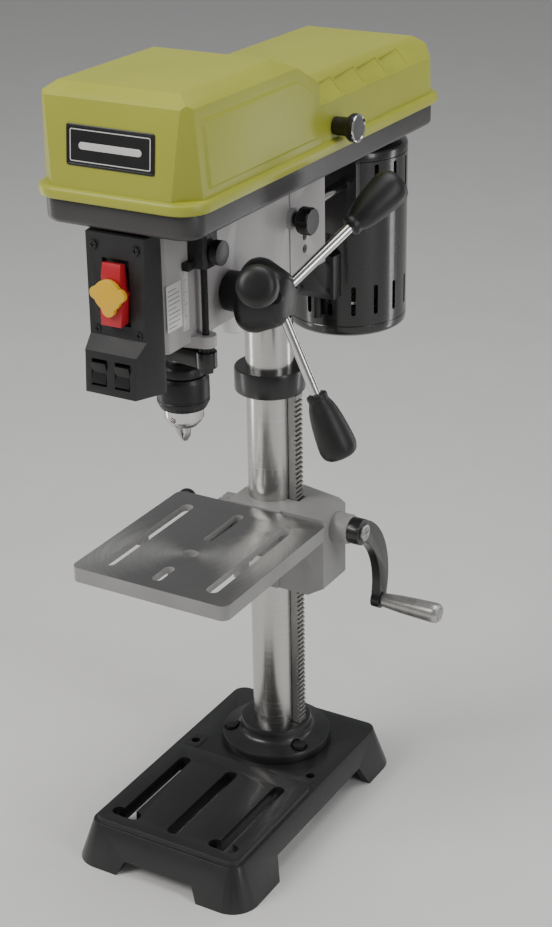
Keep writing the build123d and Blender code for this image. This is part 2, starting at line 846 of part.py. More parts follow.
with BuildPart() as quill_bearings:
    with BuildSketch(Plane.XY.offset(quill_z0 + 0.5)) as s:
        with Locations((0, spindle_y)):
            Circle(14)
            Circle(spindle_r + run, mode=Mode.SUBTRACT)
    extrude(amount=10)
    with BuildSketch(Plane.XY.offset(quill_z1 - 10)) as s:
        with Locations((0, spindle_y)):
            Circle(14)
            Circle(spindle_r + run, mode=Mode.SUBTRACT)
    extrude(amount=9.5)
save(quill_bearings, "quill_bearings")

with BuildPart() as quill_collar:
    with BuildSketch(Plane.XY.offset(quill_z0 + 1)) as s:
        with Locations((0, spindle_y)):
            Circle(27)
        with BuildLine():
            Polyline(
                (14, spindle_y + 14),
                (rod_x + 2, rod_y + 8.8),
                (rod_x - 7, rod_y - 6.5),
                (-4, spindle_y - 24),
                close=True,
            )
        make_face()
        with Locations((rod_x, rod_y)):
            Circle(9)
        with Locations((-27, spindle_y)):
            Rectangle(20, 16)
        with Locations((0, spindle_y)):
            Circle(quill_r, mode=Mode.SUBTRACT)
        with Locations((-30, spindle_y)):
            Rectangle(24, 2.4, mode=Mode.SUBTRACT)
    extrude(amount=14)
    with BuildSketch(Plane.XY.offset(quill_z0 - 5)) as s:
        with Locations((rod_x, rod_y)):
            Circle(stop_rod_r)
    extrude(amount=40, mode=Mode.SUBTRACT)
    with BuildSketch(Plane.XZ.offset(-spindle_y - 20)) as s:
        with Locations((-31, quill_z0 + 8)):
            Circle(2.5)
    extrude(amount=40, mode=Mode.SUBTRACT)
save(quill_collar, "quill_collar")

with BuildPart() as collar_bolt:
    with BuildSketch(Plane.XZ.offset(-spindle_y - 11)) as s:
        with Locations((-31, quill_z0 + 8)):
            Circle(2.5)
    extrude(amount=20)
    with BuildSketch(Plane.XZ.offset(-spindle_y + 8)) as s:
        with Locations((-31, quill_z0 + 8)):
            Circle(4.5)
    extrude(amount=4.5)
    with BuildSketch(Plane.XZ.offset(-spindle_y + 9.5)) as s:
        with Locations((-31, quill_z0 + 8)):
            RegularPolygon(2.4, 6)
    extrude(amount=6, mode=Mode.SUBTRACT)

with BuildPart() as stop_rod:
    with BuildSketch(Plane.XY.offset(quill_z0 - 5)) as s:
        with Locations((rod_x, rod_y)):
            Circle(stop_rod_r)
    extrude(amount=648 - quill_z0 + 5)
save(stop_rod, "stop_rod")

with BuildPart() as stop_rod_nuts:
    with BuildSketch(Plane.XY.offset(quill_z0 - 4)) as s:
        with Locations((rod_x, rod_y)):
            RegularPolygon(6.2, 6)
            Circle(stop_rod_r, mode=Mode.SUBTRACT)
    extrude(amount=5)
    with BuildSketch(Plane.XY.offset(quill_z0 + 15)) as s:
        with Locations((rod_x, rod_y)):
            Circle(7.2)
            with PolarLocations(7.2, 12):
                Circle(0.9, mode=Mode.SUBTRACT)
            Circle(stop_rod_r, mode=Mode.SUBTRACT)
    extrude(amount=4.5)

with BuildPart() as stop_block:
    with BuildSketch(Plane.XY.offset(611)) as s:
        with BuildLine():
            Polyline(
                (rod_x - 7.6, rod_y - 11),
                (rod_x + 6, rod_y - 11),
                (rod_x + 9, rod_y - 8),
                (rod_x + 9, rod_y + 8),
                (rod_x + 6, rod_y + 11),
                (rod_x - 7.6, rod_y + 11),
                close=True,
            )
        make_face()
    extrude(amount=34)
    with BuildSketch(Plane.XY.offset(611)) as s:
        with Locations((rod_x - 4.6, rod_y - 15)):
            Rectangle(6, 12)
    extrude(amount=7)
    with BuildSketch(Plane.XY.offset(600)) as s:
        with Locations((rod_x, rod_y)):
            Circle(stop_rod_r + run)
    extrude(amount=60, mode=Mode.SUBTRACT)
    with BuildSketch(Plane.YZ.offset(rod_x + 5)) as s:
        with Locations((rod_y, 624)):
            Circle(5)
    extrude(amount=10, mode=Mode.SUBTRACT)

with BuildPart() as stop_button:
    with BuildSketch(Plane.YZ.offset(rod_x + 5)) as s:
        with Locations((rod_y, 624)):
            Circle(5)
    extrude(amount=9)
    with BuildSketch(Plane.YZ.offset(rod_x + 12)) as s:
        with Locations((rod_y, 624)):
            Circle(10.5)
    extrude(amount=7)

with BuildPart() as depth_scale:
    with BuildSketch(Plane.YZ.offset(head_half_w)) as s:
        with Locations((-190, 585)):
            Rectangle(9, 54)
    extrude(amount=0.6)

with BuildPart() as label_plate:
    with BuildSketch(Plane.YZ.offset(head_half_w)) as s:
        with Locations((-207, 584)):
            Rectangle(22, 40)
    extrude(amount=0.5)

with BuildPart() as spindle:
    with BuildSketch(Plane.XY.offset(497)) as s:
        with Locations((0, spindle_y)):
            Circle(spindle_r)
    extrude(amount=735 - 497)
    with BuildSketch(Plane.XY.offset(512)) as s:
        with Locations((0, spindle_y)):
            Circle(12.5)
    extrude(amount=7.5)
save(spindle, "spindle")

jaw_tilt = 10.0
jaw_r = 3.2
with BuildPart() as chuck_body:
    with BuildSketch(Plane.XZ) as s:
        with BuildLine():
            Polyline(
                (0, 452),
                (13.2, 452),
                (17.6, 458),
                (18.2, 469),
                (16.5, 469),
                (16.5, 500),
                (20.5, 500),
                (20.5, 508),
                (17, 512),
                (0, 512),
                close=True,
            )
        make_face()
    revolve(axis=Axis.Z)
    with BuildSketch(Plane.XY.offset(450)) as s:
        Circle(6)
    extrude(amount=42, mode=Mode.SUBTRACT)
    with BuildSketch(Plane.XY.offset(497)) as s:
        Circle(spindle_r)
    extrude(amount=30, mode=Mode.SUBTRACT)
    for k in range(3):
        a = radians(90 + 120 * k)
        d = 3.9
        with Locations(
            Location((d * cos(a), d * sin(a), 440), (0, 0, 1), 90 + 120 * k)
            * Location((0, 0, 0), (0, 1, 0), jaw_tilt)
        ):
            Cylinder(
                jaw_r + 0.1,
                54,
                align=(Align.CENTER, Align.CENTER, Align.MIN),
                mode=Mode.SUBTRACT,
            )
    for k in range(3):
        a = 30 + 120 * k
        with Locations(Location((0, 0, 461), (0, 0, 1), a) * Location((11, 0, 0), (0, 1, 0), 90)):
            Cylinder(
                3.0, 20, align=(Align.CENTER, Align.CENTER, Align.MIN), mode=Mode.SUBTRACT
            )
chuck_body.part = chuck_body.part.moved(Location((0, spindle_y, 0)))
save(chuck_body, "chuck_body")

with BuildPart() as chuck_sleeve:
    with BuildSketch(Plane.XZ) as s:
        with BuildLine():
            Polyline(
                (16.5 + run, 469.1),
                (20.5, 469.1),
                (sleeve_r, 474.5),
                (sleeve_r, 496),
                (sleeve_r - 2, 499.8),
                (16.5 + run, 499.8),
                close=True,
            )
        make_face()
    revolve(axis=Axis.Z)
    with PolarLocations(sleeve_r, 30):
        with Locations(Location((0, 0, 467), (0, 1, 0), -38)):
            Box(1.6, 1.5, 16, mode=Mode.SUBTRACT)
chuck_sleeve.part = chuck_sleeve.part.moved(Location((0, spindle_y, 0)))
save(chuck_sleeve, "chuck_sleeve")

for k in range(3):
    a = radians(90 + 120 * k)
    with BuildPart() as jaw:
        with Locations(
            Location((3.9 * cos(a), 3.9 * sin(a), 440), (0, 0, 1), 90 + 120 * k)
            * Location((0, 0, 0), (0, 1, 0), jaw_tilt)
        ):
            with Locations((0, 0, -6)):
                Cylinder(jaw_r, 40, align=(Align.CENTER, Align.CENTER, Align.MIN))
        with BuildSketch(Plane.XZ) as s:
            with BuildLine():
                Polyline(
                    (0.4, chuck_tip), (2.6, chuck_tip), (9, 447), (18, 450), (18, 485), (0.4, 485),
                    close=True,
                )
            make_face()
        revolve(axis=Axis.Z, mode=Mode.INTERSECT)
        with BuildSketch(Plane.XY.offset(420)) as s:
            with BuildLine():
                Polyline(
                    (0.4 * cos(a), 0.4 * sin(a)),
                    (0.4 * cos(a) + 40 * cos(a - pi / 3), 0.4 * sin(a) + 40 * sin(a - pi / 3)),
                    (60 * cos(a), 60 * sin(a)),
                    (0.4 * cos(a) + 40 * cos(a + pi / 3), 0.4 * sin(a) + 40 * sin(a + pi / 3)),
                    close=True,
                )
            make_face()
        extrude(amount=100, mode=Mode.INTERSECT)
    jaw.part = jaw.part.moved(Location((0, spindle_y, 0)))
    save(jaw, "jaw_%d" % (k + 1))

# ---------------------------------------------------------------- feed shaft, hub and handles
with BuildPart() as feed_shaft:
    with BuildSketch(Plane.YZ.offset(-48)) as s:
        with Locations((feed_y, feed_z)):
            Circle(feed_r)
    extrude(amount=48 - 17)
    with BuildSketch(Plane.YZ.offset(-17)) as s:
        with Locations((feed_y, feed_z)):
            Circle(6.4)
            with PolarLocations(7.4, 10):
                Rectangle(2.4, 2.6)
    extrude(amount=34)
    with BuildSketch(Plane.YZ.offset(17)) as s:
        with Locations((feed_y, feed_z)):
            Circle(feed_r)
    extrude(amount=58 - 17)
save(feed_shaft, "feed_shaft")

with BuildPart() as feed_hub:
    with BuildSketch(Plane.XY.offset(feed_z)) as s:
        with BuildLine():
            Polyline(
                (head_half_w + 0.5, feed_y),
                (head_half_w + 0.5, feed_y + 17.5),
                (52, feed_y + 18.5),
                (54, feed_y + 31),
                (61, feed_y + 32.5),
                (66, feed_y + 31.5),
                (84, feed_y + 24),
                (90, feed_y + 19),
                (92, feed_y + 12),
                (92.5, feed_y),
                close=True,
            )
        make_face()
    revolve(axis=Axis((0, feed_y, feed_z), (1, 0, 0)))
    with BuildSketch(Plane.YZ.offset(20)) as s:
        with Locations((feed_y, feed_z)):
            Circle(feed_r)
    extrude(amount=58 - 20, mode=Mode.SUBTRACT)
    for k in range(3):
        with Locations(
            Location((79, feed_y, feed_z), (1, 0, 0), arm_first + 120 * k)
            * Location((0, 0, 0), (0, 0, 1), 90 - arm_slant)
            * Location((0, 0, 0), (0, 1, 0), 90)
            * Location((0, 0, arm_root))
        ):
            Cylinder(
                rod_r, 40, align=(Align.CENTER, Align.CENTER, Align.MIN), mode=Mode.SUBTRACT
            )
save(feed_hub, "feed_hub")

feed_rods = []
feed_grips = []
for k in range(3):
    with BuildPart() as feed_rod:
        with Locations(
            Location((79, feed_y, feed_z), (1, 0, 0), arm_first + 120 * k)
            * Location((0, 0, 0), (0, 0, 1), 90 - arm_slant)
            * Location((0, 0, 0), (0, 1, 0), 90)
            * Location((0, 0, arm_root))
        ):
            Cylinder(rod_r, 112 - arm_root, align=(Align.CENTER, Align.CENTER, Align.MIN))
    feed_rods.append(feed_rod)
    with BuildPart() as feed_grip:
        with BuildSketch(Plane.XZ) as s:
            with BuildLine():
                Polyline(
                    (0, rod_len), (8.0, rod_len), (9.0, rod_len + 2), (9.0, rod_len + 5),
                    (8.2, rod_len + 7), (12.5, rod_len + 26), (16.5, rod_len + 48),
                    (17.3, rod_len + 55), (15.5, grip_end - 3), (10, grip_end), (0, grip_end),
                    close=True,
                )
            make_face()
        revolve(axis=Axis.Z)
        Cylinder(
            rod_r, 112, align=(Align.CENTER, Align.CENTER, Align.MIN), mode=Mode.SUBTRACT
        )
    feed_grip.part = feed_grip.part.moved(
        Location((79, feed_y, feed_z), (1, 0, 0), arm_first + 120 * k)
        * Location((0, 0, 0), (0, 0, 1), 90 - arm_slant)
        * Location((0, 0, 0), (0, 1, 0), 90)
    )
    feed_grips.append(feed_grip)

# ---------------------------------------------------------------- pulleys and belt
with BuildPart() as spindle_pulley:
    with BuildSketch(Plane.XZ) as s:
        with BuildLine():
            pts = [(spindle_r + run, quill_z1 + 1.0), (11, quill_z1 + 1.0), (11, pulley_z0)]
            for i, r in enumerate(step_r):
                z = pulley_z0 + i * step_h
                pts += [
                    (r, z), (r, z + 1.2), (r - 7, z + 4.7), (r - 7, z + 7.7), (r, z + 11.2),
                    (r, z + step_h),
                ]
            pts += [(spindle_r + run, pulley_z0 + 5 * step_h)]
            Polyline(*pts, close=True)
        make_face()
    revolve(axis=Axis.Z)
spindle_pulley.part = spindle_pulley.part.moved(Location((0, spindle_y, 0)))
save(spindle_pulley, "spindle_pulley")

with BuildPart() as motor_pulley:
    with BuildSketch(Plane.XZ) as s:
        with BuildLine():
            pts = [(7, pulley_z0 - 6), (11, pulley_z0 - 6), (11, pulley_z0)]
            for i, r in enumerate(reversed(step_r)):
                z = pulley_z0 + i * step_h
                pts += [
                    (r, z), (r, z + 1.2), (r - 7, z + 4.7), (r - 7, z + 7.7), (r, z + 11.2),
                    (r, z + step_h),
                ]
            pts += [(7, pulley_z0 + 5 * step_h)]
            Polyline(*pts, close=True)
        make_face()
    revolve(axis=Axis.Z)
motor_pulley.part = motor_pulley.part.moved(Location((0, motor_y, 0)))
save(motor_pulley, "motor_pulley")

belt_z = pulley_z0 + 2 * step_h + 6.2
belt_r0 = step_r[2] - 5.7
belt_r1 = step_r[2] + 0.2
with BuildPart() as v_belt:
    with BuildSketch(Plane.XZ.offset(-spindle_y)) as s:
        for side in (-1, 1):
            with BuildLine():
                Polyline(
                    (side * belt_r0, belt_z - 1.7),
                    (side * belt_r1, belt_z - 4.6),
                    (side * belt_r1, belt_z + 4.6),
                    (side * belt_r0, belt_z + 1.7),
                    close=True,
                )
            make_face()
    extrude(amount=-(motor_y - spindle_y))
    with BuildSketch(Plane.XZ.offset(-spindle_y)) as s:
        with BuildLine():
            Polyline(
                (-belt_r0, belt_z - 1.7), (-belt_r1, belt_z - 4.6), (-belt_r1, belt_z + 4.6),
                (-belt_r0, belt_z + 1.7), close=True,
            )
        make_face()
    revolve(axis=Axis((0, spindle_y, 0), (0, 0, 1)), revolution_arc=180)
    with BuildSketch(Plane.XZ.offset(-motor_y)) as s:
        with BuildLine():
            Polyline(
                (belt_r0, belt_z - 1.7), (belt_r1, belt_z - 4.6), (belt_r1, belt_z + 4.6),
                (belt_r0, belt_z + 1.7), close=True,
            )
        make_face()
    revolve(axis=Axis((0, motor_y, 0), (0, 0, 1)), revolution_arc=180)
save(v_belt, "v_belt")

# ---------------------------------------------------------------- belt housing
hinge_x = -86.0
hinge_z = 676.0
hinge_ys = (-120.0, 100.0)
tray_mid = (tray_front + tray_rear) / 2
with BuildPart() as belt_tray:
    with BuildSketch(Plane.XY.offset(head_z1)) as s:
        with Locations((0, tray_mid)):
            RectangleRounded(2 * tray_half_w, tray_rear - tray_front, 20)
    extrude(amount=tray_h)
    fillet(belt_tray.faces().sort_by(Axis.Z)[0].edges(), 5)
    with BuildSketch(Plane.XY.offset(head_z1 + 3)) as s:
        with Locations((0, tray_mid)):
            RectangleRounded(2 * tray_half_w - 5.2, tray_rear - tray_front - 5.2, 17.4)
    extrude(amount=tray_h, mode=Mode.SUBTRACT)
    # passages for the pulley hub and for the motor, which slides
    with BuildSketch(Plane.XY.offset(head_z1 - 1)) as s:
        with Locations((0, spindle_y)):
            Circle(14)
        with Locations((0, motor_y - 5)):
            SlotCenterToCenter(12, 32, rotation=90)
        with Locations((-20, -190), (20, -190), (-27, -48), (27, -48)):
            Circle(2.5)
    extrude(amount=6, mode=Mode.SUBTRACT)
    # outer hinge knuckles on the left wall
    for hy in hinge_ys:
        for dy in (-17, 11):
            with BuildSketch(Plane.XZ.offset(-hy - dy)) as s:
                with Locations((hinge_x, hinge_z)):
                    Circle(4)
                with BuildLine():
                    Polyline(
                        (hinge_x - 3.9, hinge_z - 1),
                        (hinge_x + 3.9, hinge_z - 1),
                        (hinge_x + 3.9, hinge_z - 6),
                        (-tray_half_w + 1, hinge_z - 8),
                        (-tray_half_w + 1, hinge_z - 14),
                        (hinge_x - 3.9, hinge_z - 6),
                        close=True,
                    )
                make_face()
            extrude(amount=-6)
            with BuildSketch(Plane.XZ.offset(-hy - dy + 1)) as s:
                with Locations((hinge_x, hinge_z)):
                    Circle(1.5)
            extrude(amount=-8, mode=Mode.SUBTRACT)
save(belt_tray, "belt_tray")

with BuildPart() as tray_screws:
    with BuildSketch(Plane.XY.offset(641)) as s:
        with Locations((-20, -190), (20, -190), (-27, -48), (27, -48)):
            Circle(2.5)
    extrude(amount=head_z1 + 3 - 641)
    with BuildSketch(Plane.XY.offset(head_z1 + 3)) as s:
        with Locations((-20, -190), (20, -190), (-27, -48), (27, -48)):
            Circle(4.6)
    extrude(amount=2.6)
    with BuildSketch(Plane.XY.offset(head_z1 + 4.4)) as s:
        with Locations((-20, -190), (20, -190), (-27, -48), (27, -48)):
            Rectangle(1.1, 7)
            Rectangle(7, 1.1)
    extrude(amount=3, mode=Mode.SUBTRACT)

with BuildPart() as hinge_pins:
    for hy in hinge_ys:
        with BuildSketch(Plane.XZ.offset(-hy + 17.0)) as s:
            with Locations((hinge_x, hinge_z)):
                Circle(1.5)
        extrude(amount=-34)
save(hinge_pins, "hinge_pins")


def hood(inset, low):
    """Faceted hood without its lip: front block, lower rear block; inset gives the inner face."""
    i = inset
    with BuildPart() as front:
        with BuildSketch(Plane.YZ) as s:
            with BuildLine():
                Polyline(
                    (-243 + i, low), (-236 + i, 756 - i * 0.4), (-225 + i * 0.6, roof_front - i),
                    (-86 - i * 0.3, roof_front - i), (-38 - i * 0.5, roof_rear - i), (-30, low),
                    close=True,
                )
            make_face()
        extrude(amount=90, both=True)
        with BuildSketch(Plane.XZ) as s:
            with BuildLine():
                Polyline(
                    (-76 + i, low), (-72 + i, 757 - i * 0.4), (-57 + i * 0.5, 768 - i),
                    (57 - i * 0.5, 768 - i), (72 - i, 757 - i * 0.4), (76 - i, low), close=True,
                )
            make_face()
        extrude(amount=300, both=True, mode=Mode.INTERSECT)
    with BuildPart() as rear:
        with BuildSketch(Plane.YZ) as s:
            with BuildLine():
                Polyline(
                    (-140, low), (-140, roof_rear - i), (180 - i * 0.4, roof_rear - 3 - i),
                    (196 - i * 0.8, roof_rear - 13 - i * 0.4), (202 - i, 706), (203.5 - i, low),
                    close=True,
                )
            make_face()
        extrude(amount=90, both=True)
        with BuildSketch(Plane.XZ) as s:
            with BuildLine():
                Polyline(
                    (-76 + i, low), (-74 + i, 717 - i * 0.3), (-60 + i * 0.6, 734 - i * 0.8),
                    (-47 + i * 0.4, 744 - i), (47 - i * 0.4, 744 - i), (60 - i * 0.6, 734 - i * 0.8),
                    (74 - i, 717 - i * 0.3), (76 - i, low), close=True,
                )
            make_face()
        extrude(amount=300, both=True, mode=Mode.INTERSECT)
    with BuildPart() as both_blocks:
        add(front.part)
        add(rear.part)
        with BuildSketch(Plane.XY.offset(low)) as s:
            with BuildLine():
                Polyline(
                    (-58 + i * 0.4, -244 + i), (58 - i * 0.4, -244 + i), (76 - i, -222 + i * 0.4),
                    (76 - i, 180 - i * 0.4), (54 - i * 0.4, 203.5 - i), (-54 + i * 0.4, 203.5 - i),
                    (-76 + i, 180 - i * 0.4), (-76 + i, -222 + i * 0.4), close=True,
                )
            make_face()
        extrude(amount=120, mode=Mode.INTERSECT)
    return both_blocks.part


hood_outer = hood(0.0, lip_z1 - 1.0)
hood_inner = hood(skin, lip_z0 - 2.0)
with BuildPart() as cover:
    add(hood_outer)
    with BuildSketch(Plane.XY.offset(lip_z1 - 3)) as s:
        with Locations((0, (lip_front + lip_rear) / 2)):
            RectangleRounded(2 * lip_half_w, lip_rear - lip_front, 26)
    extrude(amount=3)
    with BuildSketch(Plane.XY.offset(lip_z0)) as s:
        with Locations((0, (lip_front + lip_rear) / 2)):
            RectangleRounded(2 * lip_half_w, lip_rear - lip_front, 26)
            RectangleRounded(2 * lip_half_w - 6, lip_rear - lip_front - 6, 23, mode=Mode.SUBTRACT)
    extrude(amount=lip_z1 - lip_z0 - 1)
    add(hood_inner, mode=Mode.SUBTRACT)
    # middle hinge knuckles
    for hy in hinge_ys:
        with BuildSketch(Plane.XZ.offset(-hy + 10.5)) as s:
            with Locations((hinge_x, hinge_z)):
                Circle(4)
            with BuildLine():
                Polyline(
                    (hinge_x + 1, hinge_z - 3.5),
                    (-lip_half_w + 1, hinge_z - 1.8),
                    (-lip_half_w + 1, hinge_z + 5),
                    (hinge_x - 1, hinge_z + 3.8),
                    close=True,
                )
            make_face()
        extrude(amount=-21)
        with BuildSketch(Plane.XZ.offset(-hy + 12)) as s:
            with Locations((hinge_x, hinge_z)):
                Circle(1.5 + run)
        extrude(amount=-24, mode=Mode.SUBTRACT)
    # hole for the knob's screw
    with BuildSketch(Plane.YZ.offset(60)) as s:
        with Locations((-8, 695)):
            Circle(3)
    extrude(amount=30, mode=Mode.SUBTRACT)
save(cover, "cover")

with BuildPart() as cover_knob:
    with BuildSketch(Plane.XY.offset(695)) as s:
        with BuildLine():
            Polyline(
                (69.5, -8), (69.5, -4), (72.1, -4), (72.1, -5), (75.8, -5), (75.8, 0),
                (88, 0.6), (91, 3.5), (93, 4.6), (98, 4.6), (99.5, 3), (99.5, -8), close=True,
            )
        make_face()
    revolve(axis=Axis((0, -8, 695), (1, 0, 0)))
save(cover_knob, "cover_knob")

slope = 7.0 / (756 - lip_z1 + 1)
with BuildPart() as name_plate:
    with BuildSketch(Plane.YZ) as s:
        with BuildLine():
            Polyline(
                (-243 + (703 - lip_z1 + 1) * slope, 703),
                (-243 + (736 - lip_z1 + 1) * slope, 736),
                (-244 + (736 - lip_z1 + 1) * slope, 736),
                (-244 + (703 - lip_z1 + 1) * slope, 703),
                close=True,
            )
        make_face()
    extrude(amount=42, both=True)
save(name_plate, "name_plate")

# ---------------------------------------------------------------- motor
with BuildPart() as motor_housing:
    with BuildSketch(Plane.XY.offset(motor_z0 + 12)) as s:
        with Locations((0, motor_y)):
            Circle(motor_r)
            Circle(motor_r - 3, mode=Mode.SUBTRACT)
    extrude(amount=motor_z1 - motor_z0 - 24)
    for z in (490, 610):
        with Locations(Location((0, motor_y, z))):
            with PolarLocations(motor_r, 16, start_angle=11.25):
                Box(12, 4.5, 30, mode=Mode.SUBTRACT)

with BuildPart() as motor_caps:
    with BuildSketch(Plane.XZ) as s:
        with BuildLine():
            Polyline(
                (7 + run, motor_z1 - 9), (18, motor_z1 - 9), (18, motor_z1 - 6),
                (motor_r - 3, motor_z1 - 6), (motor_r - 3, motor_z1 - 12),
                (motor_r, motor_z1 - 12), (motor_r, motor_z1 - 4), (motor_r - 5, motor_z1),
                (22, motor_z1), (20, motor_z1 + 4), (7 + run, motor_z1 + 4), close=True,
            )
        make_face()
        with BuildLine():
            Polyline(
                (7 + run, motor_z0 + 9), (18, motor_z0 + 9), (18, motor_z0 + 5),
                (motor_r - 3, motor_z0 + 5), (motor_r - 3, motor_z0 + 12),
                (motor_r, motor_z0 + 12), (motor_r, motor_z0 + 5), (motor_r - 6, motor_z0),
                (7 + run, motor_z0), close=True,
            )
        make_face()
    revolve(axis=Axis.Z)
    for r in (30, 41):
        with PolarLocations(r, 12):
            with Locations((0, 0, motor_z0)):
                Box(6, 4, 30, mode=Mode.SUBTRACT)
motor_caps.part = motor_caps.part.moved(Location((0, motor_y, 0)))

with BuildPart() as motor_core:
    with BuildSketch(Plane.XY.offset(515)) as s:
        with Locations((0, motor_y)):
            Circle(motor_r - 3)
            Circle(30, mode=Mode.SUBTRACT)
    extrude(amount=72)
    with BuildSketch(Plane.XY.offset(505)) as s:
        with Locations((0, motor_y)):
            Circle(48)
            Circle(33, mode=Mode.SUBTRACT)
    extrude(amount=92)
save(motor_core, "motor_core")

with BuildPart() as motor_shaft:
    with BuildSketch(Plane.XY.offset(motor_z0 + 2)) as s:
        with Locations((0, motor_y)):
            Circle(7)
    extrude(amount=pulley_z0 + 5 * step_h + 4 - motor_z0 - 2)
    with BuildSketch(Plane.XY.offset(517)) as s:
        with Locations((0, motor_y)):
            Circle(29.5)
    extrude(amount=68)

with BuildPart() as motor_fan:
    with BuildSketch(Plane.XY.offset(484)) as s:
        with Locations((0, motor_y)):
            Circle(50)
            Circle(7, mode=Mode.SUBTRACT)
    extrude(amount=2.5)
    with Locations(Location((0, motor_y, 477))):
        with PolarLocations(32, 10):
            Box(34, 2.2, 15)
    with BuildSketch(Plane.XY.offset(470)) as s:
        with Locations((0, motor_y)):
            Circle(14)
            Circle(7, mode=Mode.SUBTRACT)
    extrude(amount=15)

plate_y = motor_y - 73
gland_y = motor_y - motor_r - 5.6
with BuildPart() as motor_plate:
    with BuildSketch(Plane.XZ.offset(-plate_y)) as s:
        with Locations((0, 602)):
            RectangleRounded(96, 76, 8)
        with Locations((-bar_x, bar_z), (bar_x, bar_z)):
            Circle(bar_r, mode=Mode.SUBTRACT)
    extrude(amount=-7)
    with BuildSketch(Plane.XY.offset(572)) as s:
        with Locations((0, plate_y + 14)):
            Rectangle(70, 20)
        with Locations((0, motor_y)):
            Circle(motor_r, mode=Mode.SUBTRACT)
    extrude(amount=10)
    with BuildSketch(Plane.XY.offset(618)) as s:
        with Locations((0, plate_y + 14)):
            Rectangle(70, 20)
        with Locations((0, motor_y)):
            Circle(motor_r, mode=Mode.SUBTRACT)
    extrude(amount=10)
save(motor_plate, "motor_plate")

with BuildPart() as slide_bars:
    with BuildSketch(Plane.XZ.offset(34)) as s:
        with Locations((-bar_x, bar_z), (bar_x, bar_z)):
            Circle(bar_r)
    extrude(amount=-(plate_y + 34 + 9))
save(slide_bars, "slide_bars")

with BuildPart() as wiring_box:
    with BuildSketch(Plane.XY.offset(496)) as s:
        with Locations((0, motor_y - motor_r)):
            Rectangle(44, 22)
        with Locations((0, motor_y)):
            Circle(motor_r, mode=Mode.SUBTRACT)
    extrude(amount=44)
    with BuildSketch(Plane.XZ.offset(motor_r - motor_y + 11)) as s:
        with Locations((-15, 504), (15, 504), (-15, 532), (15, 532)):
            Circle(2.6)
    extrude(amount=1.8)

with BuildPart() as cord_gland:
    with BuildSketch(Plane.XY.offset(motor_z0 + 22)) as s:
        with Locations((0, gland_y)):
            Circle(5)
            Circle(3.2, mode=Mode.SUBTRACT)
    extrude(amount=22)

with BuildPart() as tension_knob:
    with BuildSketch(Plane.YZ.offset(bar_x + bar_r + 0.4)) as s:
        with Locations((-28, bar_z)):
            Circle(4)
    extrude(amount=20)
    with BuildSketch(Plane.YZ.offset(46.5)) as s:
        with Locations((-28, bar_z)):
            Circle(7)
    extrude(amount=7)
    with BuildSketch(Plane.YZ.offset(52)) as s:
        with Locations((-28, bar_z)):
            Circle(12.5)
            with PolarLocations(14.6, 6):
                Circle(3.6, mode=Mode.SUBTRACT)
    extrude(amount=12)
save(tension_knob, "tension_knob")

# ---------------------------------------------------------------- switch
paddle_y, paddle_z = -240.0, 602.0
rocker_y, rocker_z = -248.0, 535.0
pivot_r = 1.5
with BuildPart() as switch_box:
    with BuildSketch(Plane.YZ) as s:
        with BuildLine():
            Polyline(
                (head_front, 650), (-241, 650), (-242.5, 563), (-255, 553), (-255, 549),
                (-258, 517), (head_front, 513), close=True,
            )
        make_face()
    extrude(amount=60, both=True)
    with BuildSketch(Plane.XY.offset(500)) as s:
        with BuildLine():
            Polyline(
                (-31.5, head_front), (31.5, head_front), (31.5, head_front - 3), (24, -262),
                (-24, -262), (-31.5, head_front - 3), close=True,
            )
        make_face()
    extrude(amount=170, mode=Mode.INTERSECT)
    # hollow behind the front plate, open to the casting
    with BuildSketch(Plane.XZ.offset(-head_front - 1)) as s:
        with Locations((0, 604)):
            Rectangle(38, 74)
        with Locations((0, 540)):
            Rectangle(44, 30)
    extrude(amount=8, mode=Mode.SUBTRACT)
    # well of the main switch and the two small switch openings
    with BuildSketch(Plane.XZ.offset(-head_front + 15)) as s:
        with Locations((0, 602)):
            Rectangle(26, 56)
    extrude(amount=40, mode=Mode.SUBTRACT)
    with BuildSketch(Plane.XZ.offset(-head_front + 18)) as s:
        with Locations((-11.5, 535), (11.5, 535)):
            Rectangle(15, 23)
    extrude(amount=40, mode=Mode.SUBTRACT)
    with BuildSketch(Plane.XZ.offset(239.5)) as s:
        with Locations((-20.5, 640), (20.5, 640), (-20.5, 568), (20.5, 568)):
            Circle(3.4)
    extrude(amount=4, mode=Mode.SUBTRACT)
    # bearings of the paddle's and the rockers' pivots
    with BuildSketch(Plane.YZ) as s:
        with Locations((paddle_y, paddle_z)):
            Circle(pivot_r + run)
    extrude(amount=16.6, both=True, mode=Mode.SUBTRACT)
    for side in (-1, 1):
        with BuildSketch(Plane.YZ.offset(side * 11.5)) as s:
            with Locations((rocker_y, rocker_z)):
                Circle(pivot_r + run)
        extrude(amount=9.8, both=True, mode=Mode.SUBTRACT)
save(switch_box, "switch_box")

with BuildPart() as switch_screws:
    for sx in (-20.5, 20.5):
        for sz in (640, 568):
            with BuildSketch(Plane.XZ.offset(239.5)) as s:
                with Locations((sx, sz)):
                    Circle(3.4)
            extrude(amount=3.6)
            with BuildSketch(Plane.XZ.offset(242.0)) as s:
                with Locations((sx, sz)):
                    Rectangle(0.9, 5)
                    Rectangle(5, 0.9)
            extrude(amount=3, mode=Mode.SUBTRACT)

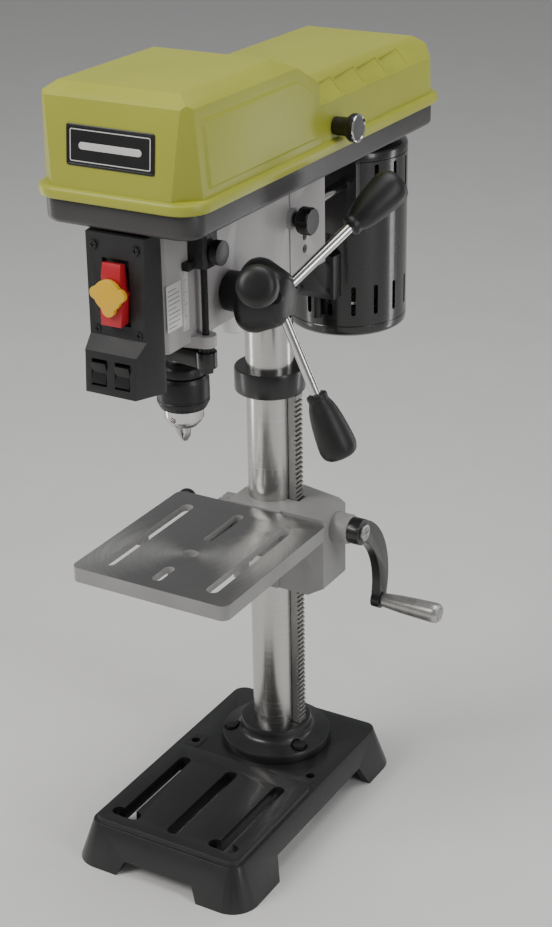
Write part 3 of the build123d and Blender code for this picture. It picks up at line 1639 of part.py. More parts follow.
with BuildPart() as switch_paddle:
    with BuildSketch(Plane.YZ) as s:
        with BuildLine():
            Polyline(
                (-237.5, 602), (-241, 627), (-247, 628), (-249.5, 617), (-248, 604),
                (-250.5, 590), (-252, 576), (-241, 577), close=True,
            )
        make_face()
    extrude(amount=20, both=True)
    with BuildSketch(Plane.XZ) as s:
        with BuildLine():
            Polyline(
                (-8.8, 630), (8.8, 630), (9.5, 606), (11.6, 600), (9.5, 574), (-9.5, 574),
                (-11.6, 600), (-9.5, 606), close=True,
            )
        make_face()
    extrude(amount=400, both=True, mode=Mode.INTERSECT)
    with BuildSketch(Plane.XZ.offset(241.5)) as s:
        with Locations((0, 603)):
            Rectangle(9.4, 3.4)
    extrude(amount=20, mode=Mode.SUBTRACT)
    # pivot that the paddle rocks on
    with BuildSketch(Plane.YZ) as s:
        with Locations((paddle_y, paddle_z)):
            Circle(pivot_r)
    extrude(amount=16, both=True)
save(switch_paddle, "switch_paddle")

with BuildPart() as switch_key:
    with BuildSketch(Plane.XZ.offset(251.2)) as s:
        with Locations((0, 603)):
            Circle(13.2)
        with Locations((-11.5, 604), (11.5, 604)):
            Circle(5.6)
        with Locations((0, 591)):
            Circle(6.2)
    extrude(amount=4.6)
    with BuildSketch(Plane.XZ.offset(242)) as s:
        with Locations((0, 603)):
            Rectangle(9.2, 3.2)
    extrude(amount=10)
save(switch_key, "switch_key")

for side, name in ((-1, "rocker_left"), (1, "rocker_right")):
    with BuildPart() as rocker:
        with BuildSketch(Plane.YZ.offset(side * 11.5 - 7.2)) as s:
            with BuildLine():
                Polyline(
                    (-258, 544), (-255.5, 535), (-258, 526), (-244, 528), (-244, 542), close=True
                )
            make_face()
        extrude(amount=14.4)
        with BuildSketch(Plane.YZ.offset(side * 11.5)) as s:
            with Locations((rocker_y, rocker_z)):
                Circle(pivot_r)
        extrude(amount=9.4, both=True)
    save(rocker, name)

# ---------------------------------------------------------------- grouped pieces
save_group("set_screws", [ring_screw, head_screws])
save_group("housing_screws", [tray_screws, switch_screws])
save_group("motor_housing", [motor_housing, motor_caps])
save_group("wiring_box", [wiring_box, cord_gland])
save_group("motor_shaft", [motor_shaft, motor_fan])
save_group("crank_fasteners", [crank_screw, grip_pin])
save_group("bracket_bolts", [tilt_bolt, clamp_stud])
save_group("table_bracket", [table_bracket, crank_boss])
save_group("stop_block", [stop_block, stop_button])
save_group("quill_fasteners", [stop_rod_nuts, collar_bolt])
save_group("head_plates", [depth_scale, label_plate])
save_group("feed_rods", feed_rods)
save_group("feed_grips", feed_grips)
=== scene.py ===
# %% [markdown]
# # A bench drill press, from its fixed frame to a finished picture
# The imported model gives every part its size, place and motion. This lesson adds the looks:
# rounded castings, a pressed hood with louvres, turned knobs and handles, ground steel and paint.
# Nothing here moves or resizes a part of the frame. A piece that needs a better shape gets a new
# object that rides on the same body and stands for the old node.

# %% Load the fixed frame
import json
import math

import bmesh
import bpy
from mathutils import Matrix, Vector

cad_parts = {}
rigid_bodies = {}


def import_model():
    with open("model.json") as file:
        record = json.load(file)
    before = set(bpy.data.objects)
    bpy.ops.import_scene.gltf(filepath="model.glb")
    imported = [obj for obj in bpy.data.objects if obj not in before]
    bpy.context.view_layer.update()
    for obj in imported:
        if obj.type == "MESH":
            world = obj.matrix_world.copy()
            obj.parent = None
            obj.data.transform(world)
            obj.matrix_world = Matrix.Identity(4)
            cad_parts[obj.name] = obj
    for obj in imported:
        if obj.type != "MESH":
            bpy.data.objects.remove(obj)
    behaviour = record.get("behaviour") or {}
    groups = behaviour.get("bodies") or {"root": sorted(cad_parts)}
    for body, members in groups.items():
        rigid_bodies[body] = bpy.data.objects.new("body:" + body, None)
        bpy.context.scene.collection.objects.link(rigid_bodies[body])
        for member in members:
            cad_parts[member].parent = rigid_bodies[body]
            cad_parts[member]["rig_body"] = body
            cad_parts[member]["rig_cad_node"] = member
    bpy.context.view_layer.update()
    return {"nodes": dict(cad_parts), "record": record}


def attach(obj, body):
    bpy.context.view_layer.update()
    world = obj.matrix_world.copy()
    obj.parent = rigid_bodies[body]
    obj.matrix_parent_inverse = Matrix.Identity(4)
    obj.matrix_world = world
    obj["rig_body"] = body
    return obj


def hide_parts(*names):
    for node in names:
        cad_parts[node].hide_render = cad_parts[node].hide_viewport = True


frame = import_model()

# %% [markdown]
# The machine stands on its base at height 0, with the column's axis at x = 0, y = 0, and its front
# towards minus y. The places of its pieces are in millimetres and are brought to metres by MM, while
# the lights and the camera are in metres. A few axes serve many pieces, so they are named once.

# %% Axes of the machine
MM = 0.001
SPINDLE_Y = -150
FEED_Y, FEED_Z = -121, 572
MOTOR_Y = 157
HINGE_X, HINGE_Z = -86, 676
LIP = (-81, 81, -247, 208)
LIP_CORNER = 26
ARM_HUB = (79, FEED_Y, FEED_Z)
ARM_SLANT, ARM_FIRST = 22, 35
print("spindle", SPINDLE_Y, "feed axis", (FEED_Y, FEED_Z), "motor", MOTOR_Y)

# %% [markdown]
# ## Helpers of the workbench
# Operators act on whatever is selected, so every job starts by letting go of everything.
# The place of a finished piece belongs in its mesh, so its transforms are applied at the end.

# %% Start calm, end settled


def calm():
    if bpy.context.object and bpy.context.object.mode != "OBJECT":
        bpy.ops.object.mode_set(mode="OBJECT")
    bpy.ops.object.select_all(action="DESELECT")


def take(piece):
    calm()
    piece.select_set(True)
    bpy.context.view_layer.objects.active = piece
    return piece


def bake_place(piece):
    """Puts the place, turn and scale of a piece into its mesh."""
    take(piece)
    bpy.ops.object.transform_apply(location=True, rotation=True, scale=True)
    return piece


def settle(piece, name=None, smooth=32):
    bake_place(piece)
    bpy.ops.object.shade_smooth_by_angle(angle=math.radians(smooth))
    if name:
        piece.name = name
        piece.data.name = name
    calm()
    return piece


def round_edges(piece, width, segments=3, angle=30, clamp=True):
    take(piece)
    soft = piece.modifiers.new("soft edges", "BEVEL")
    soft.width = width * MM
    soft.segments = segments
    soft.limit_method = "ANGLE"
    soft.angle_limit = math.radians(angle)
    soft.use_clamp_overlap = clamp
    soft.miter_outer = "MITER_ARC"
    bpy.ops.object.modifier_apply(modifier=soft.name)
    return piece


def fit(piece, body, nodes=(), finish=None):
    """The piece rides on a body, stands for its nodes and gets its finish."""
    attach(piece, body)
    if nodes:
        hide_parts(*nodes)
    if finish:
        piece.data.materials.clear()
        for one in finish if isinstance(finish, (list, tuple)) else [finish]:
            piece.data.materials.append(one)
    return piece


# %% [markdown]
# ## Three ways to make metal
# A casting or a bracket is copied from its node, its loose triangles are merged into clean faces,
# and its edges are rounded as paint and moulding leave them. A round thing is turned: a profile is
# pulled out point by point and spun, as on a lathe. A pressed or moulded thing with a plan outline
# is grown: an outline is extruded step by step, each step set in or out a little.

# %% Rounded copy of a frame node


def rounded_copy(node, name, width=0.8, segments=2, angle=30, clamp=True, smooth=32):
    source = frame["nodes"][node]
    take(source)
    bpy.ops.object.duplicate()
    piece = bpy.context.object
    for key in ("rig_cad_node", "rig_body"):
        del piece[key]
    piece.parent = None
    take(piece)
    if piece.data.has_custom_normals:
        bpy.ops.mesh.customdata_custom_splitnormals_clear()
    bpy.ops.object.mode_set(mode="EDIT")
    bpy.ops.mesh.select_all(action="SELECT")
    bpy.ops.mesh.remove_doubles(threshold=1e-6)
    bpy.ops.mesh.dissolve_limited(angle_limit=math.radians(0.6))
    bpy.ops.object.mode_set(mode="OBJECT")
    if width:
        round_edges(piece, width, segments, angle, clamp)
    return settle(piece, name, smooth)


# %% Turning on the lathe


def turned(name, profile, place=(0, 0, 0), turn=(0, 0, 0), steps=72, soft=0.0, smooth=32):
    """profile is (radius, height) in mm; place in mm; turn in degrees."""
    calm()
    bpy.ops.mesh.primitive_plane_add(size=0.002)
    piece = bpy.context.object
    bpy.ops.object.mode_set(mode="EDIT")
    bpy.ops.mesh.select_mode(type="VERT")
    bpy.ops.mesh.select_all(action="SELECT")
    bpy.ops.mesh.merge(type="CENTER")
    bpy.ops.transform.translate(value=(profile[0][0] * MM, 0, profile[0][1] * MM))
    for (r0, h0), (r1, h1) in zip(profile, profile[1:]):
        bpy.ops.mesh.extrude_vertices_move(
            TRANSFORM_OT_translate={"value": ((r1 - r0) * MM, 0, (h1 - h0) * MM)}
        )
    bpy.ops.mesh.select_all(action="SELECT")
    bpy.ops.mesh.spin(steps=steps, angle=2 * math.pi, center=(0, 0, 0), axis=(0, 0, 1))
    bpy.ops.mesh.select_all(action="SELECT")
    bpy.ops.mesh.remove_doubles(threshold=2e-6)
    bpy.ops.mesh.normals_make_consistent(inside=False)
    bpy.ops.object.mode_set(mode="OBJECT")
    if soft:
        round_edges(piece, soft, 2, 28)
    piece.rotation_euler = [math.radians(a) for a in turn]
    piece.location = [v * MM for v in place]
    return settle(piece, name, smooth)


def plug(name, radius, low, high, place=(0, 0, 0), turn=(0, 0, 0), steps=32):
    """A plain round bar, mostly for boring a hole in something else."""
    return turned(name, [(0, low), (radius, low), (radius, high), (0, high)], place, turn, steps)


# %% Growing from an outline


def rounded_outline(x0, x1, y0, y1, radius, inset=0.0, corner_points=8):
    """Points of a rectangle with round corners, in mm, counted anticlockwise."""
    x0, x1, y0, y1 = x0 + inset, x1 - inset, y0 + inset, y1 - inset
    radius = max(radius - inset, 0.5)
    points = []
    for cx, cy, start in (
        (x1 - radius, y1 - radius, 0),
        (x0 + radius, y1 - radius, 90),
        (x0 + radius, y0 + radius, 180),
        (x1 - radius, y0 + radius, 270),
    ):
        for k in range(corner_points):
            a = math.radians(start + 90 * k / (corner_points - 1))
            points.append((cx + radius * math.cos(a), cy + radius * math.sin(a)))
    return points


def grown(name, rings, closed=False, soft=0.0, smooth=32):
    """rings are lists of (x, y, z) in mm, all of one length. closed joins the last to the first."""
    calm()
    count = len(rings[0])
    bpy.ops.mesh.primitive_circle_add(vertices=count, radius=0.01, fill_type="NOTHING")
    piece = bpy.context.object
    bpy.ops.object.mode_set(mode="EDIT")
    bpy.ops.mesh.select_mode(type="VERT")
    bpy.ops.mesh.select_all(action="SELECT")
    mesh = bmesh.from_edit_mesh(piece.data)
    mesh.verts.ensure_lookup_table()
    row = list(mesh.verts)
    for v, p in zip(row, rings[0]):
        v.co = Vector(p) * MM
    for ring in rings[1:]:
        bpy.ops.mesh.extrude_edges_move()
        mesh = bmesh.from_edit_mesh(piece.data)
        mesh.verts.ensure_lookup_table()
        fresh = [v for v in mesh.verts if v.select]
        partner = {}
        for v in fresh:
            for e in v.link_edges:
                o = e.other_vert(v)
                if not o.select:
                    partner[o.index] = v
        mesh.verts.index_update()
        row = [partner[v.index] for v in row] if len(partner) == count else fresh
        for v, p in zip(row, ring):
            v.co = Vector(p) * MM
    bmesh.update_edit_mesh(piece.data)
    bpy.ops.mesh.select_all(action="SELECT")
    if closed:
        bpy.ops.mesh.remove_doubles(threshold=2e-6)
    else:
        bpy.ops.mesh.select_mode(type="VERT")
        bpy.ops.mesh.select_all(action="DESELECT")
        bpy.ops.mesh.select_non_manifold(extend=False, use_boundary=True)
        bpy.ops.mesh.edge_face_add()
        mesh = bmesh.from_edit_mesh(piece.data)
        for f in [f for f in mesh.faces if len(f.verts) > count]:
            mesh.faces.remove(f)
        edges = [e for e in mesh.edges if e.is_boundary]
        if edges:
            bmesh.ops.holes_fill(mesh, edges=edges)
        bmesh.update_edit_mesh(piece.data)
    bpy.ops.mesh.select_all(action="SELECT")
    bpy.ops.mesh.normals_make_consistent(inside=False)
    bpy.ops.object.mode_set(mode="OBJECT")
    if soft:
        round_edges(piece, soft, 2, 28)
    return settle(piece, name, smooth)


# %% [markdown]
# Flat things are sawn from a cube: each cut is a plane, and what lies beyond it goes. Blocks are
# also the cutters for vents, slots and teeth, taken out of a piece by a boolean modifier.

# %% Blocks, cutters and joints


def sawn_block(name, low, high, cuts):
    """A cube from low to high, in mm. Each cut is a point and a normal: what lies beyond goes."""
    calm()
    middle = [(a + b) / 2 * MM for a, b in zip(low, high)]
    size = [(b - a) * MM for a, b in zip(low, high)]
    bpy.ops.mesh.primitive_cube_add(size=1, location=middle, scale=size)
    piece = bpy.context.object
    bpy.ops.object.transform_apply(location=True, rotation=True, scale=True)
    bpy.ops.object.mode_set(mode="EDIT")
    for point, normal in cuts:
        bpy.ops.mesh.select_all(action="SELECT")
        bpy.ops.mesh.bisect(
            plane_co=[v * MM for v in point], plane_no=Vector(normal).normalized(),
            use_fill=True, clear_outer=True,
        )
    bpy.ops.object.mode_set(mode="OBJECT")
    piece.name = name
    return piece


def cutter(size, centre, radius=0.0, degrees=0.0):
    """A small block of the given size, at a radius from centre and turned by degrees."""
    bpy.ops.mesh.primitive_cube_add(size=1, scale=[v * MM for v in size])
    block = bpy.context.object
    a = math.radians(degrees)
    block.rotation_euler = (0, 0, a)
    x, y, z = centre
    block.location = ((x + radius * math.cos(a)) * MM, (y + radius * math.sin(a)) * MM, z * MM)
    return block


def combine(piece, other, how="UNION"):
    take(piece)
    joint = piece.modifiers.new("combine", "BOOLEAN")
    joint.operation = how
    joint.solver = "EXACT"
    joint.object = other
    bpy.ops.object.modifier_apply(modifier=joint.name)
    bpy.data.objects.remove(other)
    return piece


def join(name, pieces):
    calm()
    for p in pieces:
        p.select_set(True)
    bpy.context.view_layer.objects.active = pieces[0]
    bpy.ops.object.join()
    piece = bpy.context.object
    piece.name = name
    calm()
    return piece


# %% [markdown]
# ## Surface effects shared by several finishes
# Paint, castings and moulded plastic all share a fine grain and a slow change of tone and gloss.
# Ground and brushed steel share long scratches. Each effect is a node group, built once, that gives
# out numbers and never a shader, so every finish keeps its own shader with its own constants.

# %% Group for grain, tone and gloss


def group_of(name, inputs, outputs):
    group = bpy.data.node_groups.new(name, "ShaderNodeTree")
    for label, kind, value in inputs:
        s = group.interface.new_socket(label, in_out="INPUT", socket_type=kind)
        if value is not None:
            s.default_value = value
    for label, kind in outputs:
        group.interface.new_socket(label, in_out="OUTPUT", socket_type=kind)
    return group, group.nodes.new("NodeGroupInput"), group.nodes.new("NodeGroupOutput")


def noise(tree, scale, detail=3.0, rough=0.5):
    n = tree.nodes.new("ShaderNodeTexNoise")
    n.inputs["Scale"].default_value = scale
    n.inputs["Detail"].default_value = detail
    n.inputs["Roughness"].default_value = rough
    return n


def maths(tree, how, a, b=None):
    n = tree.nodes.new("ShaderNodeMath")
    n.operation = how
    for socket, value in zip(n.inputs, (a, b)):
        if value is None:
            continue
        if isinstance(value, (int, float)):
            socket.default_value = value
        else:
            tree.links.new(value, socket)
    return n.outputs[0]


def spread(tree, value, low, high):
    """Stretches the middle of a noise, 0.3 to 0.7, over low to high."""
    n = tree.nodes.new("ShaderNodeMapRange")
    tree.links.new(value, n.inputs["Value"])
    n.inputs["From Min"].default_value = 0.3
    n.inputs["From Max"].default_value = 0.7
    for socket, v in (("To Min", low), ("To Max", high)):
        if isinstance(v, (int, float)):
            n.inputs[socket].default_value = v
        else:
            tree.links.new(v, n.inputs[socket])
    return n.outputs[0]


def weigh(tree, first, share, second, other_share):
    return maths(tree, "ADD", maths(tree, "MULTIPLY", first, share),
                 maths(tree, "MULTIPLY", second, other_share))


def tone_and_gloss(tree, enter, leave, tone_by, gloss_by):
    """One value mixes the two colours, the other moves the roughness from low to high."""
    tone = tree.nodes.new("ShaderNodeMix")
    tone.data_type = "RGBA"
    tree.links.new(spread(tree, tone_by, 0.0, 1.0), tone.inputs["Factor"])
    tree.links.new(enter.outputs["Dark Colour"], tone.inputs["A"])
    tree.links.new(enter.outputs["Colour"], tone.inputs["B"])
    tree.links.new(tone.outputs["Result"], leave.inputs["Colour"])
    gloss = spread(tree, gloss_by, enter.outputs["Gloss Low"], enter.outputs["Gloss High"])
    tree.links.new(gloss, leave.inputs["Roughness"])


F, V, C = "NodeSocketFloat", "NodeSocketVector", "NodeSocketColor"
surface, enter, leave = group_of(
    "surface grain",
    [
        ("Vector", V, None),
        ("Grain", F, 900.0),
        ("Colour", C, (0.5, 0.5, 0.5, 1)),
        ("Dark Colour", C, (0.3, 0.3, 0.3, 1)),
        ("Gloss Low", F, 0.4),
        ("Gloss High", F, 0.6),
    ],
    [("Colour", C), ("Roughness", F), ("Height", F)],
)
grain = noise(surface, 900.0, 4.0, 0.6)
slow = noise(surface, 13.0, 4.0, 0.55)
specks = noise(surface, 160.0, 2.0)
for n in (grain, slow, specks):
    surface.links.new(enter.outputs["Vector"], n.inputs["Vector"])
surface.links.new(enter.outputs["Grain"], grain.inputs["Scale"])
mixed = weigh(surface, slow.outputs["Fac"], 0.6, specks.outputs["Fac"], 0.4)
tone_and_gloss(surface, enter, leave, slow.outputs["Fac"], mixed)
specks_half = maths(surface, "MULTIPLY", specks.outputs["Fac"], 0.5)
surface.links.new(maths(surface, "ADD", grain.outputs["Fac"], specks_half), leave.inputs["Height"])

# %% [markdown]
# Ground steel is covered in fine parallel scratches. They are a noise that the finish stretches
# along one direction, so one group serves the column, the chuck and the pulleys.

# %% Group for scratches left by grinding
scratches, enter, leave = group_of(
    "grinding marks",
    [("Vector", V, None), ("Gloss Low", F, 0.2), ("Gloss High", F, 0.35),
     ("Colour", C, (0.6, 0.6, 0.6, 1)), ("Dark Colour", C, (0.4, 0.4, 0.4, 1))],
    [("Colour", C), ("Roughness", F), ("Height", F)],
)
fine = noise(scratches, 1.0, 5.0, 0.7)
wide = noise(scratches, 0.13, 2.0)
for n in (fine, wide):
    scratches.links.new(enter.outputs["Vector"], n.inputs["Vector"])
both = weigh(scratches, fine.outputs["Fac"], 0.55, wide.outputs["Fac"], 0.45)
tone_and_gloss(scratches, enter, leave, both, both)
scratches.links.new(fine.outputs["Fac"], leave.inputs["Height"])

# %% [markdown]
# The table's top was faced on a lathe. Its grooves are rings round the middle. Rings throw the light
# in two bright and two dark sectors, and this sheen is painted into the tone as a painted highlight
# that follows the angle round the middle.

# %% Group for the rings of a turned face, and their painted sheen
rings, enter, leave = group_of(
    "turned rings and painted sheen",
    [("Vector", V, None), ("Pitch", F, 700.0), ("Sheen Lean", F, 0.35),
     ("Gloss Low", F, 0.25), ("Gloss High", F, 0.4),
     ("Colour", C, (0.6, 0.6, 0.6, 1)), ("Dark Colour", C, (0.4, 0.4, 0.4, 1))],
    [("Colour", C), ("Roughness", F), ("Height", F)],
)
split = rings.nodes.new("ShaderNodeSeparateXYZ")
rings.links.new(enter.outputs["Vector"], split.inputs[0])
x, y = split.outputs["X"], split.outputs["Y"]
radius = maths(rings, "SQRT", maths(rings, "ADD", maths(rings, "MULTIPLY", x, x),
                                    maths(rings, "MULTIPLY", y, y)))
groove = maths(rings, "SINE", maths(rings, "MULTIPLY", radius, enter.outputs["Pitch"]))
# The two bright and two dark sectors round the middle are a painted highlight in the tone and gloss.
angle = maths(rings, "ARCTAN2", y, x)
turn = maths(rings, "MULTIPLY", maths(rings, "SUBTRACT", angle, enter.outputs["Sheen Lean"]), 2.0)
painted_sheen_sector = maths(rings, "MULTIPLY", maths(rings, "ADD", maths(rings, "COSINE", turn), 1.0), 0.5)
ray = noise(rings, 1.0, 4.0, 0.65)
comb = rings.nodes.new("ShaderNodeCombineXYZ")
rings.links.new(maths(rings, "MULTIPLY", maths(rings, "COSINE", angle), 1.5), comb.inputs[0])
rings.links.new(maths(rings, "MULTIPLY", maths(rings, "SINE", angle), 1.5), comb.inputs[1])
rings.links.new(maths(rings, "MULTIPLY", radius, 900.0), comb.inputs[2])
rings.links.new(comb.outputs[0], ray.inputs["Vector"])
mixed = weigh(rings, ray.outputs["Fac"], 0.45, maths(rings, "POWER", painted_sheen_sector, 1.6), 0.42)
tone_and_gloss(rings, enter, leave, mixed, mixed)
rings.links.new(groove, leave.inputs["Height"])
print(len(bpy.data.node_groups), "effect groups")

# %% [markdown]
# ## The finishes
# One helper lays a group over a shader. What differs from finish to finish is the colour, how deep
# the grain is, how glossy it is and whether it is metal. Constants such as the coat stay on the
# shader's own sockets.

# %% A helper that mixes a finish


def finish_of(name, group, colour, dark, gloss, depth, metal=0.0, coat=0.0, coat_rough=0.1,
              grain=None, stretch=(1, 1, 1), centre=(0, 0, 0), anisotropic=0.0, specular=0.5):
    made = bpy.data.materials.new(name)
    made.use_nodes = True
    tree = made.node_tree
    shader = tree.nodes["Principled BSDF"]
    place = tree.nodes.new("ShaderNodeTexCoord")
    mapping = tree.nodes.new("ShaderNodeMapping")
    mapping.inputs["Scale"].default_value = stretch
    mapping.inputs["Location"].default_value = [-c * s for c, s in zip(centre, stretch)]
    effect = tree.nodes.new("ShaderNodeGroup")
    effect.node_tree = group
    effect.inputs["Colour"].default_value = (*colour, 1)
    effect.inputs["Dark Colour"].default_value = (*dark, 1)
    effect.inputs["Gloss Low"].default_value = gloss[0]
    effect.inputs["Gloss High"].default_value = gloss[1]
    if grain is not None:
        effect.inputs["Grain" if group == surface else "Pitch"].default_value = grain
    bump = tree.nodes.new("ShaderNodeBump")
    bump.inputs["Distance"].default_value = depth * MM
    bump.inputs["Strength"].default_value = 1.0
    tree.links.new(place.outputs["Object"], mapping.inputs["Vector"])
    tree.links.new(mapping.outputs["Vector"], effect.inputs["Vector"])
    tree.links.new(effect.outputs["Colour"], shader.inputs["Base Color"])
    tree.links.new(effect.outputs["Roughness"], shader.inputs["Roughness"])
    tree.links.new(effect.outputs["Height"], bump.inputs["Height"])
    tree.links.new(bump.outputs["Normal"], shader.inputs["Normal"])
    shader.inputs["Metallic"].default_value = metal
    shader.inputs["Coat Weight"].default_value = coat
    shader.inputs["Coat Roughness"].default_value = coat_rough
    shader.inputs["Anisotropic"].default_value = anisotropic
    shader.inputs["Specular IOR Level"].default_value = specular
    return made


# %% Paints and castings
hood_enamel = finish_of("hood_enamel", surface, (0.42, 0.435, 0.05), (0.385, 0.4, 0.042),
                        (0.36, 0.46), 0.015, coat=0.12, coat_rough=0.25, grain=1500)
tray_enamel = finish_of("tray_enamel", surface, (0.06, 0.056, 0.056), (0.046, 0.043, 0.043),
                        (0.36, 0.48), 0.02, coat=0.15, coat_rough=0.25, grain=1300)
base_enamel = finish_of("base_enamel", surface, (0.012, 0.012, 0.013), (0.008, 0.008, 0.0085),
                        (0.3, 0.46), 0.1, coat=0.3, coat_rough=0.2, grain=420)
black_enamel = finish_of("black_enamel", surface, (0.01, 0.01, 0.0105), (0.007, 0.007, 0.0075),
                         (0.28, 0.4), 0.03, coat=0.3, coat_rough=0.15, grain=900)
head_paint = finish_of("head_paint", surface, (0.42, 0.4, 0.395), (0.36, 0.345, 0.34),
                       (0.34, 0.48), 0.05, coat=0.2, coat_rough=0.25, grain=600)
bracket_paint = finish_of("bracket_paint", surface, (0.33, 0.325, 0.32), (0.26, 0.255, 0.25),
                          (0.4, 0.55), 0.12, coat=0.1, coat_rough=0.3, grain=450)
motor_enamel = finish_of("motor_enamel", surface, (0.01, 0.01, 0.0105), (0.007, 0.007, 0.007),
                         (0.2, 0.32), 0.012, coat=0.5, coat_rough=0.1, grain=1200)

# %% [markdown]
# Most plastics have no coat: their gloss comes from the mould. The grips are a little rougher than
# the black knobs. The switch's red and yellow have a thin coat, so that they stay bright.

# %% Plastics and rubber
box_plastic = finish_of("box_plastic", surface, (0.019, 0.0185, 0.0195), (0.014, 0.014, 0.0145),
                        (0.42, 0.56), 0.06, grain=1100)
black_plastic = finish_of("black_plastic", surface, (0.01, 0.01, 0.0105), (0.007, 0.007, 0.0075),
                          (0.3, 0.42), 0.02, grain=1000)
grip_plastic = finish_of("grip_plastic", surface, (0.012, 0.0115, 0.0115), (0.008, 0.008, 0.008),
                         (0.36, 0.5), 0.05, grain=800)
red_plastic = finish_of("red_plastic", surface, (0.55, 0.02, 0.03), (0.47, 0.015, 0.025),
                        (0.26, 0.36), 0.01, coat=0.2, grain=900)
yellow_plastic = finish_of("yellow_plastic", surface, (0.83, 0.5, 0.03), (0.76, 0.44, 0.02),
                           (0.28, 0.38), 0.01, coat=0.2, grain=900)
lens_plastic = finish_of("lens_plastic", surface, (0.85, 0.85, 0.82), (0.78, 0.78, 0.75),
                         (0.2, 0.3), 0.01, grain=500)
belt_rubber = finish_of("belt_rubber", surface, (0.02, 0.02, 0.02), (0.012, 0.012, 0.012),
                        (0.6, 0.8), 0.08, grain=1500)

# %% [markdown]
# Bare metals differ mostly in how they were worked, so the stretch of the scratches changes. They
# run round the column and the crank's grip, as a lathe leaves them, and the table has rings, with a
# painted sheen in their tone.

# %% Bare metals
column_steel = finish_of("column_steel", scratches, (0.62, 0.605, 0.585), (0.5, 0.49, 0.475),
                         (0.17, 0.3), 0.006, metal=1.0, stretch=(40, 40, 2600))
ground_steel = finish_of("ground_steel", scratches, (0.58, 0.57, 0.56), (0.42, 0.415, 0.41),
                         (0.22, 0.36), 0.008, metal=1.0, stretch=(160, 160, 2200))
polished_chrome = finish_of("polished_chrome", scratches, (0.72, 0.71, 0.7), (0.64, 0.63, 0.62),
                            (0.07, 0.16), 0.003, metal=1.0, stretch=(90, 90, 900))
oily_steel = finish_of("oily_steel", surface, (0.36, 0.35, 0.34), (0.22, 0.215, 0.21),
                       (0.3, 0.5), 0.05, metal=1.0, grain=1200)
black_steel = finish_of("black_steel", surface, (0.05, 0.05, 0.052), (0.028, 0.028, 0.03),
                        (0.3, 0.45), 0.02, metal=0.6, grain=1400)
zinc_steel = finish_of("zinc_steel", surface, (0.55, 0.55, 0.54), (0.4, 0.4, 0.39),
                       (0.25, 0.4), 0.02, metal=1.0, grain=1400)
alloy = finish_of("alloy", scratches, (0.62, 0.62, 0.62), (0.5, 0.5, 0.5),
                  (0.25, 0.4), 0.01, metal=1.0, stretch=(300, 300, 1800))
grip_metal = finish_of("grip_metal", scratches, (0.6, 0.59, 0.57), (0.42, 0.41, 0.4),
                       (0.25, 0.42), 0.02, metal=0.85, stretch=(900, 120, 120))
# The top's tone carries a painted sheen: bright and dark sectors round the spindle's hole.
table_iron = finish_of("table_iron", rings, (0.66, 0.65, 0.635), (0.34, 0.335, 0.33),
                       (0.3, 0.42), 0.012, metal=1.0, grain=5200, centre=(0, SPINDLE_Y * MM, 0.322))
plate_alloy = finish_of("plate_alloy", surface, (0.78, 0.77, 0.75), (0.7, 0.69, 0.68),
                        (0.3, 0.4), 0.01, metal=0.2, grain=900)
winding_copper = finish_of("winding_copper", scratches, (0.5, 0.22, 0.08), (0.3, 0.12, 0.05),
                           (0.3, 0.5), 0.05, metal=0.9, stretch=(900, 900, 200))
print(len(bpy.data.materials), "materials, counting those that came with the frame")

# %% [markdown]
# ## Every node's finish
# Most nodes keep their shape, because the frame already has it right. Each becomes a rounded copy
# with its own finish, so no edge is as sharp as a knife and light runs along the corners.

# %% Rounded copies, one line for each node
body_of = {n: b for b, ns in frame["record"]["behaviour"]["bodies"].items() for n in ns}
rounded = {
    "base": (1.4, 3, base_enamel),
    "flange_bolts": (0.4, 2, black_steel),
    "rack": (0.25, 1, oily_steel),
    "set_screws": (0.2, 1, black_steel),
    "table_bracket": (1.2, 3, bracket_paint),
    "bracket_bolts": (0.5, 2, zinc_steel),
    "worm_shaft": (0.3, 1, ground_steel),
    "crank_arm": (1.6, 3, black_enamel),
    "crank_fasteners": (0.3, 2, zinc_steel),
    "rack_gear": (0.3, 1, oily_steel),
    "clamp_lever": (0.8, 2, black_plastic),
    "tilt_scale": (0.15, 1, plate_alloy),
    "head_casting": (1.5, 3, head_paint),
    "head_bearing": (0.4, 2, ground_steel),
    "return_spring": (0, 1, black_steel),
    "quill": (0.4, 2, ground_steel),
    "quill_bearings": (0.4, 2, ground_steel),
    "quill_collar": (1.0, 3, black_enamel),
    "quill_fasteners": (0.3, 2, black_steel),
    "stop_block": (0.9, 3, black_plastic),
    "spindle": (0.5, 2, ground_steel),
    "jaw_1": (0.2, 2, ground_steel),
    "jaw_2": (0.2, 2, ground_steel),
    "jaw_3": (0.2, 2, ground_steel),
    "feed_shaft": (0.2, 1, ground_steel),
    "spindle_pulley": (0.3, 1, alloy),
    "motor_pulley": (0.3, 1, alloy),
    "v_belt": (0.3, 1, belt_rubber),
    "belt_tray": (0.7, 2, tray_enamel),
    "housing_screws": (0.25, 2, black_steel),
    "hinge_pins": (0.2, 1, zinc_steel),
    "motor_core": (0.3, 1, winding_copper),
    "motor_shaft": (0.3, 1, ground_steel),
    "motor_plate": (1.0, 3, black_enamel),
    "slide_bars": (0.6, 2, polished_chrome),
    "wiring_box": (1.0, 3, black_plastic),
    "switch_box": (1.0, 3, box_plastic),
    "switch_paddle": (0.9, 3, red_plastic),
    "switch_key": (0.8, 3, yellow_plastic),
    "rocker_left": (0.7, 3, black_plastic),
    "rocker_right": (0.7, 3, black_plastic),
}
for node, (width, segments, finish) in rounded.items():
    piece = rounded_copy(node, node + "_piece", width, segments)
    fit(piece, body_of[node], [node], finish)
print(len(rounded), "rounded copies")

# %% [markdown]
# ## The hood
# The real hood is a thin pressing: flat faces that lean in, joined by soft ridges, high in front
# over the spindle's pulley and lower behind. Two cubes are sawn by the planes of those faces and
# united, the ridges are rounded, and only then does the skin get its thickness, from its outside
# inwards, so that it is hollow when it swings open.

